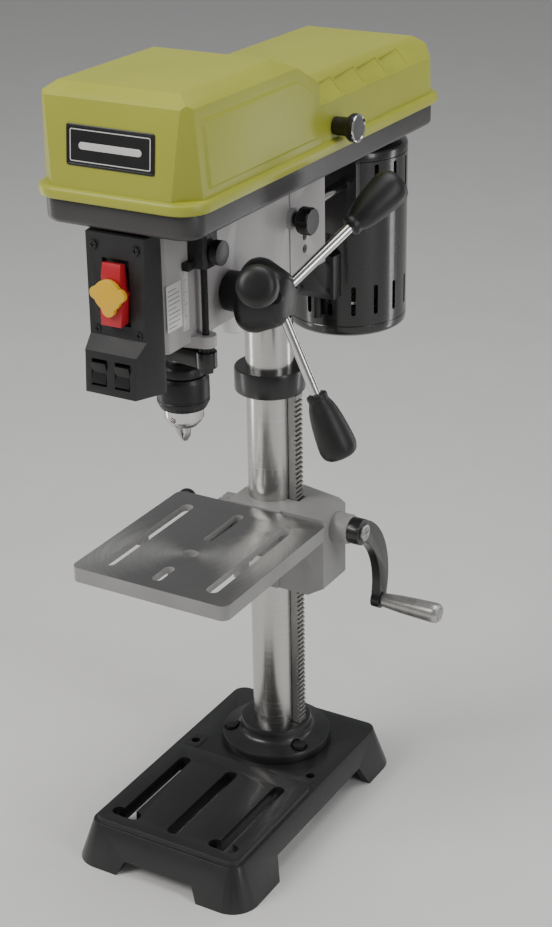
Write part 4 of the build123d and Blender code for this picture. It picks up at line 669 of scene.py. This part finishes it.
# %% Saw the two blocks of the hood
front_cuts = [
    ((-76, 0, 683), (-74, 0, 4)), ((76, 0, 683), (74, 0, 4)),
    ((0, -243, 683), (0, -73, 7)),
    ((0, -225, 766), (0, -10, 11)),
    ((0, -86, 766), (0, 26, 48)),
    ((-57, 0, 767), (-11, 0, 15)), ((57, 0, 767), (11, 0, 15)),
    ((-56, -244, 0), (-19, -20, 0)), ((56, -244, 0), (19, -20, 0)),
]
rear_cuts = [
    ((-76, 0, 683), (-34, 0, 2)), ((76, 0, 683), (34, 0, 2)),
    ((0, 180, 737), (0, 3, 320)),
    ((0, 196, 727), (0, 10, 16)),
    ((0, 202, 706), (0, 21, 6)),
    ((0, 203.5, 683), (0, 23, 1.5)),
    ((-60, 0, 734), (-17, 0, 14)), ((60, 0, 734), (17, 0, 14)),
    ((-54, 203.5, 0), (-22, 23.5, 0)), ((54, 203.5, 0), (22, 23.5, 0)),
    ((-47, 0, 744), (-10, 0, 13)), ((47, 0, 744), (10, 0, 13)),
]
hood_front = sawn_block("hood_front", (-80, -246, 681), (80, -32, 766), front_cuts)
hood_rear = sawn_block("hood_rear", (-80, -140, 681), (80, 206, 740), rear_cuts)
print("front block", len(front_cuts), "cuts, rear block", len(rear_cuts), "cuts")

# %% [markdown]
# Each cheek of the front block carries a pressed panel. Its face is found by its normal, inset in
# its own plane and pushed out by little more than a millimetre.

# %% Press the cheek panels
take(hood_front)
bpy.ops.object.mode_set(mode="EDIT")
for side in (-1, 1):
    bpy.ops.mesh.select_mode(type="FACE")
    bpy.ops.mesh.select_all(action="DESELECT")
    mesh = bmesh.from_edit_mesh(hood_front.data)
    cheek = max(mesh.faces, key=lambda f: f.calc_area() if f.normal.x * side > 0.95 else 0)
    cheek.select = True
    bmesh.update_edit_mesh(hood_front.data)
    bpy.ops.mesh.inset(thickness=9.5 * MM, depth=0.0)
    bpy.ops.mesh.inset(thickness=2.2 * MM, depth=1.6 * MM)
bpy.ops.object.mode_set(mode="OBJECT")
hood = combine(hood_front, hood_rear)
print("both blocks as one", len(hood.data.polygons), "faces")

# %% [markdown]
# The louvres are shallow stepped hollows in the sloping shoulder behind the front block. A block is
# laid on the shoulder, tipped a little along it, and cut away, four times on each side. The tip is
# what makes each hollow start deep and run out to nothing. All the ridges are then rounded at once.

# %% Cut the louvres
LOUVRES, LOUVRE_STEP, LOUVRE_TIP = 4, 43, 0.075
for side in (-1, 1):
    along = Vector((0, 1, LOUVRE_TIP)).normalized()
    out = Vector((side * 17, 0, 14)).normalized()
    across = along.cross(out).normalized()
    for k in range(LOUVRES):
        bpy.ops.mesh.primitive_cube_add(size=1)
        wedge = bpy.context.object
        wedge.scale = (17 * MM, 40 * MM, 8 * MM)
        wedge.rotation_mode = "QUATERNION"
        axes = Matrix((across, along, across.cross(along))).transposed()
        wedge.rotation_quaternion = axes.to_quaternion()
        wedge.location = (Vector((side * 67, LOUVRE_STEP * k - 10, 725.5)) + out * 2.6) * MM
        combine(hood, bake_place(wedge), "DIFFERENCE")
round_edges(hood, 2.6, 4, 14)
print("hood with louvres", len(hood.data.polygons), "faces")

# %% [markdown]
# The block is still solid. Its underside is taken away by its normal, and the faces that are left
# are thickened inwards, so the outside stays where it is.

# %% Give the skin its thickness
take(hood)
bpy.ops.object.mode_set(mode="EDIT")
bpy.ops.mesh.select_mode(type="FACE")
bpy.ops.mesh.select_all(action="DESELECT")
mesh = bmesh.from_edit_mesh(hood.data)
for f in mesh.faces:
    f.select = f.normal.z < -0.9
bmesh.update_edit_mesh(hood.data)
bpy.ops.mesh.delete(type="FACE")
bpy.ops.object.mode_set(mode="OBJECT")
skin = hood.modifiers.new("skin", "SOLIDIFY")
skin.thickness = 2.2 * MM
skin.offset = -1
bpy.ops.object.modifier_apply(modifier=skin.name)
settle(hood, "hood", 25)
print("hollow hood", len(hood.data.polygons), "faces")

# %% [markdown]
# A rolled lip runs round the hood's foot and hangs over the tray. Its section is grown ring by ring
# from a rounded rectangle, out over the top, down the outside and back up inside.

# %% Roll the lip
section = [(15, 681.8), (15, 684.2), (6.2, 684.4), (3.4, 684.0), (1.6, 683.2), (0.5, 681.9),
           (0, 680.0), (0, 676.2), (0.4, 674.9), (1.3, 674.1), (2.2, 674.2), (2.8, 675.0),
           (3.0, 676.5), (3.0, 680.6), (3.6, 681.6)]
lip_rings = [
    [(x, y, z) for x, y in rounded_outline(*LIP, LIP_CORNER, inset)]
    for inset, z in section
]
lip = grown("hood_lip", lip_rings + [lip_rings[0]], closed=True)
print("lip", len(lip.data.polygons), "faces")

# %% [markdown]
# Two knuckles carry the hood on its hinge pins: a turned barrel round the pin and a small strap
# from the barrel to the lip. The strap is sawn from a cube and bored, so the pin stays free.

# %% Hinge knuckles of the hood
knuckles = []
for hinge_y in (-120, 100):
    on_hinge = (HINGE_X, hinge_y, HINGE_Z), (90, 0, 0)
    barrel = turned("barrel", [(1.6, -10.5), (3.4, -10.5), (4.0, -9.9), (4.0, 9.9), (3.4, 10.5),
                               (1.6, 10.5), (1.6, -10.5)], *on_hinge, steps=32)
    strap = sawn_block("strap", (HINGE_X, hinge_y - 10.5, 674.5), (-79.5, hinge_y + 10.5, 681),
                       [((HINGE_X, 0, 679.8), (-5, 0, 5)), ((-82, 0, 674.6), (0, 0, -1))])
    bore = plug("bore", 3.0, -14, 14, *on_hinge, steps=32)
    combine(strap, bore, "DIFFERENCE")
    knuckles += [barrel, settle(strap)]
hood = join("hood", [hood, lip] + knuckles)
settle(hood, "hood", 25)
fit(hood, "hood", ["cover"], hood_enamel)
print("hood", len(hood.data.polygons), "faces")

# %% [markdown]
# The pull knob is turned from black plastic. A bright band is set into its rim, so the knob has two
# finishes: the faces of the band are found by their place and get the second one.

# %% Turn the hood's knob
KNOB_Y, KNOB_Z = -8, 695
knob = turned("hood_knob", [
    (0, 69.8), (3.9, 69.8), (3.9, 72.0), (2.8, 72.2), (2.8, 75.9), (7.9, 75.9), (8.2, 77.0),
    (8.3, 86.5), (8.8, 88.0), (11.2, 91.0), (12.3, 92.6), (12.5, 93.2), (12.5, 98.0),
    (12.2, 99.0), (11.4, 99.4), (11.0, 98.9), (10.6, 98.2), (4, 98.0), (0, 98.0),
], (0, KNOB_Y, KNOB_Z), (0, 90, 0))
fit(knob, "hood", ["cover_knob"], [black_plastic, polished_chrome])
for f in knob.data.polygons:
    away = math.hypot(f.center.y - KNOB_Y * MM, f.center.z - KNOB_Z * MM)
    if f.center.x > 97.9 * MM and away > 10.7 * MM:
        f.material_index = 1
print("band of the knob", sum(f.material_index for f in knob.data.polygons), "faces")

# %% [markdown]
# The name plate is blank: a black plate with a thin raised frame and one plain bar, which stand
# for the badge that such a machine carries, without any lettering.

# %% Make the blank plate
FRONT_LEAN = 7 / 74


def on_front(x, z, out):
    """A point on the hood's front face, which leans back, moved out from it by out."""
    return (x, -243 + (z - 683) * FRONT_LEAN - out, z)


plate = grown("badge_plate", [
    [on_front(x, z, out) for x, z in rounded_outline(-42, 42, 703, 736, 2.0, inset, 4)]
    for inset, out in ((0.3, 0.05), (0.0, 0.3), (0.0, 0.7), (0.5, 0.95), (1.6, 0.95), (1.9, 0.7))
])
frame_line = grown("badge_frame", [
    [on_front(x, z, out) for x, z in rounded_outline(-38.5, 38.5, 706.5, 732.5, 1.5, inset, 4)]
    for inset, out in ((0.0, 0.6), (0.1, 0.95), (0.8, 0.95), (0.9, 0.6), (0.0, 0.6))
], closed=True)
bar = grown("badge_bar", [
    [on_front(x, z, out) for x, z in rounded_outline(-30, 30, 716.5, 722.5, 3.0, inset, 6)]
    for inset, out in ((0.0, 0.6), (0.15, 0.92), (0.5, 0.98))
])
for piece, finish in ((plate, black_plastic), (frame_line, plate_alloy), (bar, plate_alloy)):
    piece.data.materials.append(finish)
badge = join("badge", [plate, frame_line, bar])
fit(badge, "hood", ["name_plate"])
print("badge", len(badge.data.polygons), "faces")

# %% [markdown]
# ## The column, its flange and its ring
# A ground tube shows every facet in its highlights, so it is turned with many steps. The flange and
# the ring are turned too, with the small radii that a casting has.

# %% Turn the column and what is round it
column = turned("column_tube", [
    (20, 42.1), (22.6, 42.1), (23, 42.5), (23, 599), (22.4, 599.8), (20, 599.8), (20, 42.1),
], steps=128)
fit(column, "stand", ["column"], column_steel)
flange = turned("flange", [
    (23, 42.05), (55.6, 42.05), (56, 42.5), (56, 50.5), (55.3, 51.7), (53.8, 52.2), (41.5, 54.8),
    (38.6, 56.2), (37.2, 58.4), (36.4, 62), (36, 66.2), (35.4, 67.5), (34.2, 68), (23, 68),
    (23, 42.05),
], steps=128, smooth=40)
BOLT_CIRCLE = 46
for k in range(3):
    a = math.radians(90 + 120 * k)
    centre = (BOLT_CIRCLE * math.cos(a), BOLT_CIRCLE * math.sin(a), 0)
    combine(flange, plug("seat", 8.5, 51, 75, centre, steps=48), "DIFFERENCE")
settle(flange, "flange", 35)
fit(flange, "stand", ["column_flange"], base_enamel)
ring = turned("rack_ring_piece", [
    (31, 432), (32.6, 432), (33.7, 432.9), (34, 434), (34, 454), (33.6, 455.2), (32.5, 456),
    (23, 456), (23, 444.3), (31, 444.3), (31, 432),
], steps=128)
combine(ring, plug("hole", 3.0, 0, 20, (-42, 0, 450), (0, 90, 0), steps=32), "DIFFERENCE")
settle(ring, "rack_ring_piece", 35)
fit(ring, "stand", ["rack_ring"], black_enamel)
print("column", len(column.data.polygons), "faces, flange", len(flange.data.polygons), "faces")

# %% [markdown]
# ## The table
# The underside, the ribs and the edges are cast and painted. Only the top is turned bright, so the
# table is one rounded copy with two finishes, and the faces that look up at the top get the second.

# %% Finish the table
table = rounded_copy("table", "table_piece", 1.0, 3)
fit(table, "table_body", ["table"], [bracket_paint, table_iron])
# The second finish, on the top, has the painted sheen of its turned rings in its tone.
for f in table.data.polygons:
    if f.normal.z > 0.9 and f.center.z > 321.2 * MM:
        f.material_index = 1
print("bright top", sum(f.material_index for f in table.data.polygons), "faces")

# %% [markdown]
# ## The chuck
# The body and the toothed sleeve are turned. The sleeve's key ring needs a row of small gullets:
# thirty leaning blocks are set round its edge, joined, and cut out of it at once.

# %% Turn the chuck
chuck = turned("chuck_body_piece", [
    (6, 452.2), (12.6, 452), (13.6, 452.5), (17.2, 457.6), (18.0, 459.6), (18.3, 468.9),
    (16.5, 469), (16.5, 500), (19.8, 500), (20.5, 500.8), (20.5, 507.4), (20.0, 508.5),
    (17.2, 511.7), (16.4, 512), (8, 512), (8, 496), (6, 492), (6, 452.2),
], (0, SPINDLE_Y, 0), steps=96)
for k in range(3):
    key_hole = plug("key_hole", 3.0, 11, 24, (0, SPINDLE_Y, 461), (0, 90, 30 + 120 * k), steps=24)
    combine(chuck, key_hole, "DIFFERENCE")
settle(chuck, "chuck_body_piece", 30)
fit(chuck, "spindle_body", ["chuck_body"], [polished_chrome, black_steel])
for f in chuck.data.polygons:
    if f.center.z > 499 * MM:
        f.material_index = 1
sleeve = turned("chuck_sleeve_piece", [
    (16.6, 469.2), (20.3, 469.2), (20.8, 469.5), (23.2, 474.2), (23.5, 475), (23.5, 477.2),
    (23.0, 477.8), (23.0, 479), (23.5, 479.6), (23.5, 495.6), (23.2, 496.6), (21.8, 499.4),
    (21.2, 499.8), (16.6, 499.8), (16.6, 469.2),
], (0, SPINDLE_Y, 0), steps=120)
GULLETS, GULLET_LEAN, GULLET_R = 30, -38, 23.3
gullets = []
for k in range(GULLETS):
    gullet = cutter((1.7, 1.9, 16), (0, SPINDLE_Y, 467.5), GULLET_R, 360 / GULLETS * k)
    gullet.rotation_euler.y = math.radians(GULLET_LEAN)
    gullets.append(gullet)
combine(sleeve, bake_place(join("gullets", gullets)), "DIFFERENCE")
settle(sleeve, "chuck_sleeve_piece", 28)
fit(sleeve, "sleeve", ["chuck_sleeve"], black_steel)
print("sleeve", len(sleeve.data.polygons), "faces")

# %% [markdown]
# ## Handles and knobs
# The feed hub, the grips, the crank's grip and the small caps are all turned. Each feed arm is a
# rod and a grip, turned upright and then laid along its arm, which leans out from the hub.

# %% Turn the feed hub and its arms
hub = turned("feed_hub_piece", [
    (8, 32.6), (16.8, 32.6), (17.5, 33.3), (18.3, 50.5), (19.2, 52.2), (22, 53.4), (29.6, 54.2),
    (31.4, 55.2), (32.4, 58.5), (32.5, 61), (31.9, 64.8), (30.4, 68.4), (26.6, 77.5), (24.2, 83),
    (21.8, 87.2), (18.6, 90), (14.4, 91.6), (8, 92.4), (0, 92.5), (0, 58), (8, 58), (8, 32.6),
], (0, FEED_Y, FEED_Z), (0, 90, 0), steps=96)


def along_arm(piece, k, start=0.0):
    """Lays an upright piece along feed arm k, with its foot at start from the hub's middle."""
    a = math.radians(ARM_FIRST + 120 * k)
    s, c = math.sin(math.radians(ARM_SLANT)), math.cos(math.radians(ARM_SLANT))
    way = Vector((s, c * math.cos(a), c * math.sin(a)))
    piece.rotation_mode = "QUATERNION"
    piece.rotation_quaternion = way.to_track_quat("Z", "Y")
    piece.location = (Vector(ARM_HUB) + way * start) * MM
    return piece


for k in range(3):
    spot = along_arm(plug("spot", 6.6, 0, 30, steps=36), k, 17.5)
    combine(hub, bake_place(spot), "DIFFERENCE")
settle(hub, "feed_hub_piece", 30)
fit(hub, "feed", ["feed_hub"], black_plastic)
rods, grips = [], []
for k in range(3):
    rod = plug("rod", 4.6, 15, 110, steps=40)
    grip = turned("grip", [
        (4.6, 91), (8.0, 91), (9.0, 91.6), (9.4, 92.8), (9.4, 94.8), (9.0, 96.2), (9.4, 98),
        (11.4, 102.5), (13.2, 109), (14.8, 118), (16.0, 128), (16.8, 137), (16.9, 142),
        (16.3, 145.6), (14.9, 148.6), (12.4, 150.8), (8.6, 151.8), (4, 152), (0, 152), (0, 112),
        (4.6, 111.9), (4.6, 91),
    ], steps=64, smooth=40)
    rods.append(settle(along_arm(rod, k), smooth=40))
    grips.append(settle(along_arm(grip, k), smooth=40))
rods = settle(join("feed_rods_piece", rods), "feed_rods_piece")
grips = settle(join("feed_grips_piece", grips), "feed_grips_piece", 40)
fit(rods, "feed", ["feed_rods"], polished_chrome)
fit(grips, "feed", ["feed_grips"], grip_plastic)
print("hub", len(hub.data.polygons), "faces, three grips", len(grips.data.polygons), "faces")

# %% [markdown]
# The small turned pieces come next. The crank's grip is a long barrel that swells to its free end,
# the spring cap is a cup with a bored middle, and the lamp under the head is a plain cone of clear
# plastic. The lock knob for the belt's tension is a disc with six scoops for the fingers.

# %% Turn the crank's grip, the spring cap, the lamp and the tension knob
crank_grip = turned("crank_grip_piece", [
    (3.55, 102.4), (6.4, 102.4), (7.0, 103), (7.4, 107), (7.9, 112), (8.9, 124), (9.7, 142),
    (10.2, 157), (10.2, 160.4), (9.6, 163), (8.2, 165.2), (6.2, 165.4), (5.8, 165.0),
    (5.8, 162.4), (3.55, 162.4), (3.55, 102.4),
], (0, 39, 210), (0, 90, 0), steps=64, smooth=40)
fit(crank_grip, "crank_handle", ["crank_grip"], grip_metal)
cap = turned("spring_cap_piece", [
    (21, 37.1), (23.6, 37.1), (24, 37.6), (24, 52.8), (23.4, 54.8), (22, 56.3), (20, 57),
    (11, 57), (10.2, 56.4), (10.2, 55.4), (8.1, 55.4), (8.1, 54), (21, 54), (21, 37.1),
], (0, FEED_Y, FEED_Z), (0, -90, 0), steps=96)
fit(cap, "stand", ["spring_cap"], black_enamel)
lamp = turned("work_light_piece", [
    (0, 511), (7.5, 511.1), (9.4, 511.6), (10.9, 512.8), (11.6, 514.5), (13.2, 526.5),
    (13.5, 528.5), (13.5, 556), (0, 556),
], (0, -66, 0), smooth=40)
fit(lamp, "stand", ["work_light"], lens_plastic)
LOCK_Y, LOCK_Z, SCOOPS, SCOOP_CIRCLE = -28, 612, 6, 14.6
lock = turned("tension_knob_piece", [
    (0, 39.5), (4, 39.5), (4, 46.5), (6.4, 46.5), (7, 47), (7, 52), (11.6, 52), (12.5, 53),
    (12.5, 62.6), (11.4, 63.9), (0, 64),
], (0, LOCK_Y, LOCK_Z), (0, 90, 0))
for k in range(SCOOPS):
    a = math.radians(360 / SCOOPS * k)
    centre = (0, LOCK_Y + SCOOP_CIRCLE * math.cos(a), LOCK_Z + SCOOP_CIRCLE * math.sin(a))
    combine(lock, plug("scoop", 3.6, 50, 66, centre, (0, 90, 0), steps=24), "DIFFERENCE")
settle(lock, "tension_knob_piece", 30)
fit(lock, "tension", ["tension_knob"], black_plastic)
print("lock knob", len(lock.data.polygons), "faces")

# %% [markdown]
# The depth stop's rod is threaded all along. A true thread is a helix, but at this size nobody can
# tell it from a stack of rings, so the rings are part of the profile and are turned with the rod.

# %% Turn the stop rod with its thread
THREAD_PITCH = 1.6
thread = [(0, 515), (2.5, 515)]
z = 515.6
while z < 645:
    thread += [(3.0, z), (3.0, z + 0.35), (2.55, z + 0.8), (2.55, z + 1.1)]
    z += THREAD_PITCH
thread += [(2.9, 647.6), (2.4, 648), (0, 648)]
stop_rod = turned("stop_rod_piece", thread, (40.5, -173, 0), steps=28, smooth=25)
fit(stop_rod, "quill_body", ["stop_rod"], black_steel)
print("stop rod", len(thread), "points in its profile")

# %% [markdown]
# ## The motor
# The shell is a tube with two rows of long vents. The tube is turned, and a block with four round
# edges is cut out of it wherever a vent goes. The end caps are turned with the step where they
# overlap the shell, and the lower one gets two circles of small slots for its air.

# %% Turn the shell and cut its vents
VENTS = 16
shell = turned("motor_shell", [
    (56, 464), (58.8, 464), (59, 464.3), (59, 627.7), (58.8, 628), (56, 628), (56, 464),
], (0, MOTOR_Y, 0), steps=128)
vents = []
for z in (490, 610):
    for k in range(VENTS):
        vent = cutter((12, 4.5, 30), (0, MOTOR_Y, z), 59, 360 / VENTS * (k + 0.5))
        bpy.ops.object.mode_set(mode="EDIT")
        bpy.ops.mesh.select_mode(type="EDGE")
        bpy.ops.mesh.select_all(action="DESELECT")
        mesh = bmesh.from_edit_mesh(vent.data)
        for e in mesh.edges:
            p, q = e.verts
            e.select = abs(p.co.x - q.co.x) > 0.001
        bmesh.update_edit_mesh(vent.data)
        bpy.ops.mesh.bevel(offset=2.1 * MM, segments=4, affect="EDGES")
        bpy.ops.object.mode_set(mode="OBJECT")
        vents.append(vent)
combine(shell, bake_place(join("vents", vents)), "DIFFERENCE")
settle(shell, "motor_shell", 30)
print("shell", len(shell.data.polygons), "faces")

# %% Turn the end caps and join the motor
AIR_SLOTS = 12
top_cap = turned("top_cap", [
    (7.1, 631), (18, 631), (18, 634), (56, 634), (56, 628.2), (58.6, 628.2), (59, 628.8),
    (59, 634.6), (58.4, 636.4), (57, 637.8), (54, 639.8), (52.6, 640), (22, 640), (20.4, 643.6),
    (19.6, 644), (7.1, 644), (7.1, 631),
], (0, MOTOR_Y, 0), steps=128)
low_cap = turned("low_cap", [
    (7.1, 461), (18, 461), (18, 457), (56, 457), (56, 463.8), (58.6, 463.8), (59, 463.2),
    (59, 458), (58.4, 456), (57.2, 454.6), (54.2, 452.6), (52.4, 452), (7.1, 452), (7.1, 461),
], (0, MOTOR_Y, 0), steps=128)
slots = [
    cutter((6, 4, 30), (0, MOTOR_Y, 452), r, 360 / AIR_SLOTS * k)
    for r in (30, 41)
    for k in range(AIR_SLOTS)
]
combine(low_cap, bake_place(join("slots", slots)), "DIFFERENCE")
motor = join("motor_shell", [shell, settle(top_cap), settle(low_cap)])
settle(motor, "motor_shell", 30)
fit(motor, "motor", ["motor_housing"], motor_enamel)
print("motor", len(motor.data.polygons), "faces")

# %% [markdown]
# ## Scale and label
# The depth scale carries plain graduations and no words. The label on the head is left blank, with
# a few plain rules on it where a real one has its text.

# %% Make the plates of the head
plates = rounded_copy("head_plates", "head_plates_piece", 0.0, 1)
marks = []
for k in range(25):
    long = 6.4 if k % 5 == 0 else 3.6
    marks.append(cutter((0.12, long, 0.35), (32.62, -194.3 + long / 2, 560 + 2.1 * k)))
for k in range(9):
    long = 17 if k % 4 else 12
    marks.append(cutter((0.12, long, 0.5), (32.52, -216 + long / 2, 599 - 4 * k)))
print(len(marks), "marks")
marks = settle(join("marks", marks), "marks")
round_edges(marks, 0.03, 1)
settle(marks, "plate_marks")
fit(plates, "stand", ["head_plates"], plate_alloy)
fit(marks, "stand", [], black_plastic)

# %% [markdown]
# ## Studio
# A wide, flat, pale floor. One large soft light stands in front on the left, a narrow one on the
# right and a third overhead. Two low strips beside the column draw the long highlights on the bright
# tube, and a dim pale world fills the shadows.

# %% Floor and lights
calm()
bpy.ops.mesh.primitive_plane_add(size=1, location=(0, 0, 0))
floor = bpy.context.object
floor.name = "floor"
bpy.ops.object.mode_set(mode="EDIT")
bpy.ops.transform.resize(value=(14, 14, 1))
bpy.ops.object.mode_set(mode="OBJECT")
floor_paint = finish_of("floor_paint", surface, (0.74, 0.735, 0.72), (0.72, 0.715, 0.7),
                        (0.55, 0.65), 0.01, grain=60)
floor.data.materials.append(floor_paint)


def soft_light(name, place, aim, size, power, colour=(1, 1, 1)):
    light = bpy.data.lights.new(name, "AREA")
    light.shape = "RECTANGLE"
    light.size, light.size_y = size
    light.energy = power
    light.color = colour
    holder = bpy.data.objects.new(name, light)
    bpy.context.scene.collection.objects.link(holder)
    holder.location = place
    holder.rotation_euler = (Vector(aim) - Vector(place)).to_track_quat("-Z", "Y").to_euler()
    return holder


soft_light("key light", (-1.3, -2.0, 2.3), (0, -0.05, 0.4), (1.4, 1.4), 56, (1, 0.985, 0.96))
soft_light("side light", (2.2, -0.5, 1.3), (0, 0, 0.4), (0.5, 1.9), 16, (0.97, 0.985, 1))
soft_light("top light", (0.2, 0.2, 2.6), (0, 0, 0.5), (1.6, 1.6), 26)
soft_light("left strip", (-0.42, -0.21, 0.45), (0, 0, 0.45), (0.07, 0.5), 0.5)
soft_light("right strip", (0.36, 0.34, 0.45), (0, 0, 0.45), (0.07, 0.5), 0.5)
world = bpy.data.worlds.new("pale studio")
bpy.context.scene.world = world
world.use_nodes = True
sky = world.node_tree.nodes["Background"]
sky.inputs["Color"].default_value = (0.86, 0.87, 0.88, 1)
sky.inputs["Strength"].default_value = 0.3
print(len(bpy.data.lights), "lights")

# %% [markdown]
# The camera stands to the right in front of the machine and looks down on it, turned a little round
# its own line of sight. Its place comes from the viewing angle, its distance and the point it aims at.

# %% Camera
azimuth, elevation, roll = math.radians(30.826), math.radians(24.851), math.radians(-1.182)
DISTANCE = 1.77518
FOCAL_LENGTH, FRAME_HEIGHT = 1820.03, 927
aim = Vector((-0.00577, -0.00355, 0.33794))
back = Vector((
    math.sin(azimuth) * math.cos(elevation),
    -math.cos(azimuth) * math.cos(elevation),
    math.sin(elevation),
))
camera_data = bpy.data.cameras.new("camera")
camera = bpy.data.objects.new("camera", camera_data)
bpy.context.scene.collection.objects.link(camera)
camera.location = aim + back * DISTANCE
turn = (-back).to_track_quat("-Z", "Y").to_matrix().to_4x4()
camera.rotation_euler = (turn @ Matrix.Rotation(roll, 4, "Z")).to_euler()
camera_data.sensor_width = 36
camera_data.lens = FOCAL_LENGTH / FRAME_HEIGHT * camera_data.sensor_width
camera_data.shift_x = 0.01206
camera_data.shift_y = 0.01487
camera_data.clip_start, camera_data.clip_end = 0.05, 40
bpy.context.scene.camera = camera
print("camera at", [round(v, 3) for v in camera.location])

# %% Finish
calm()
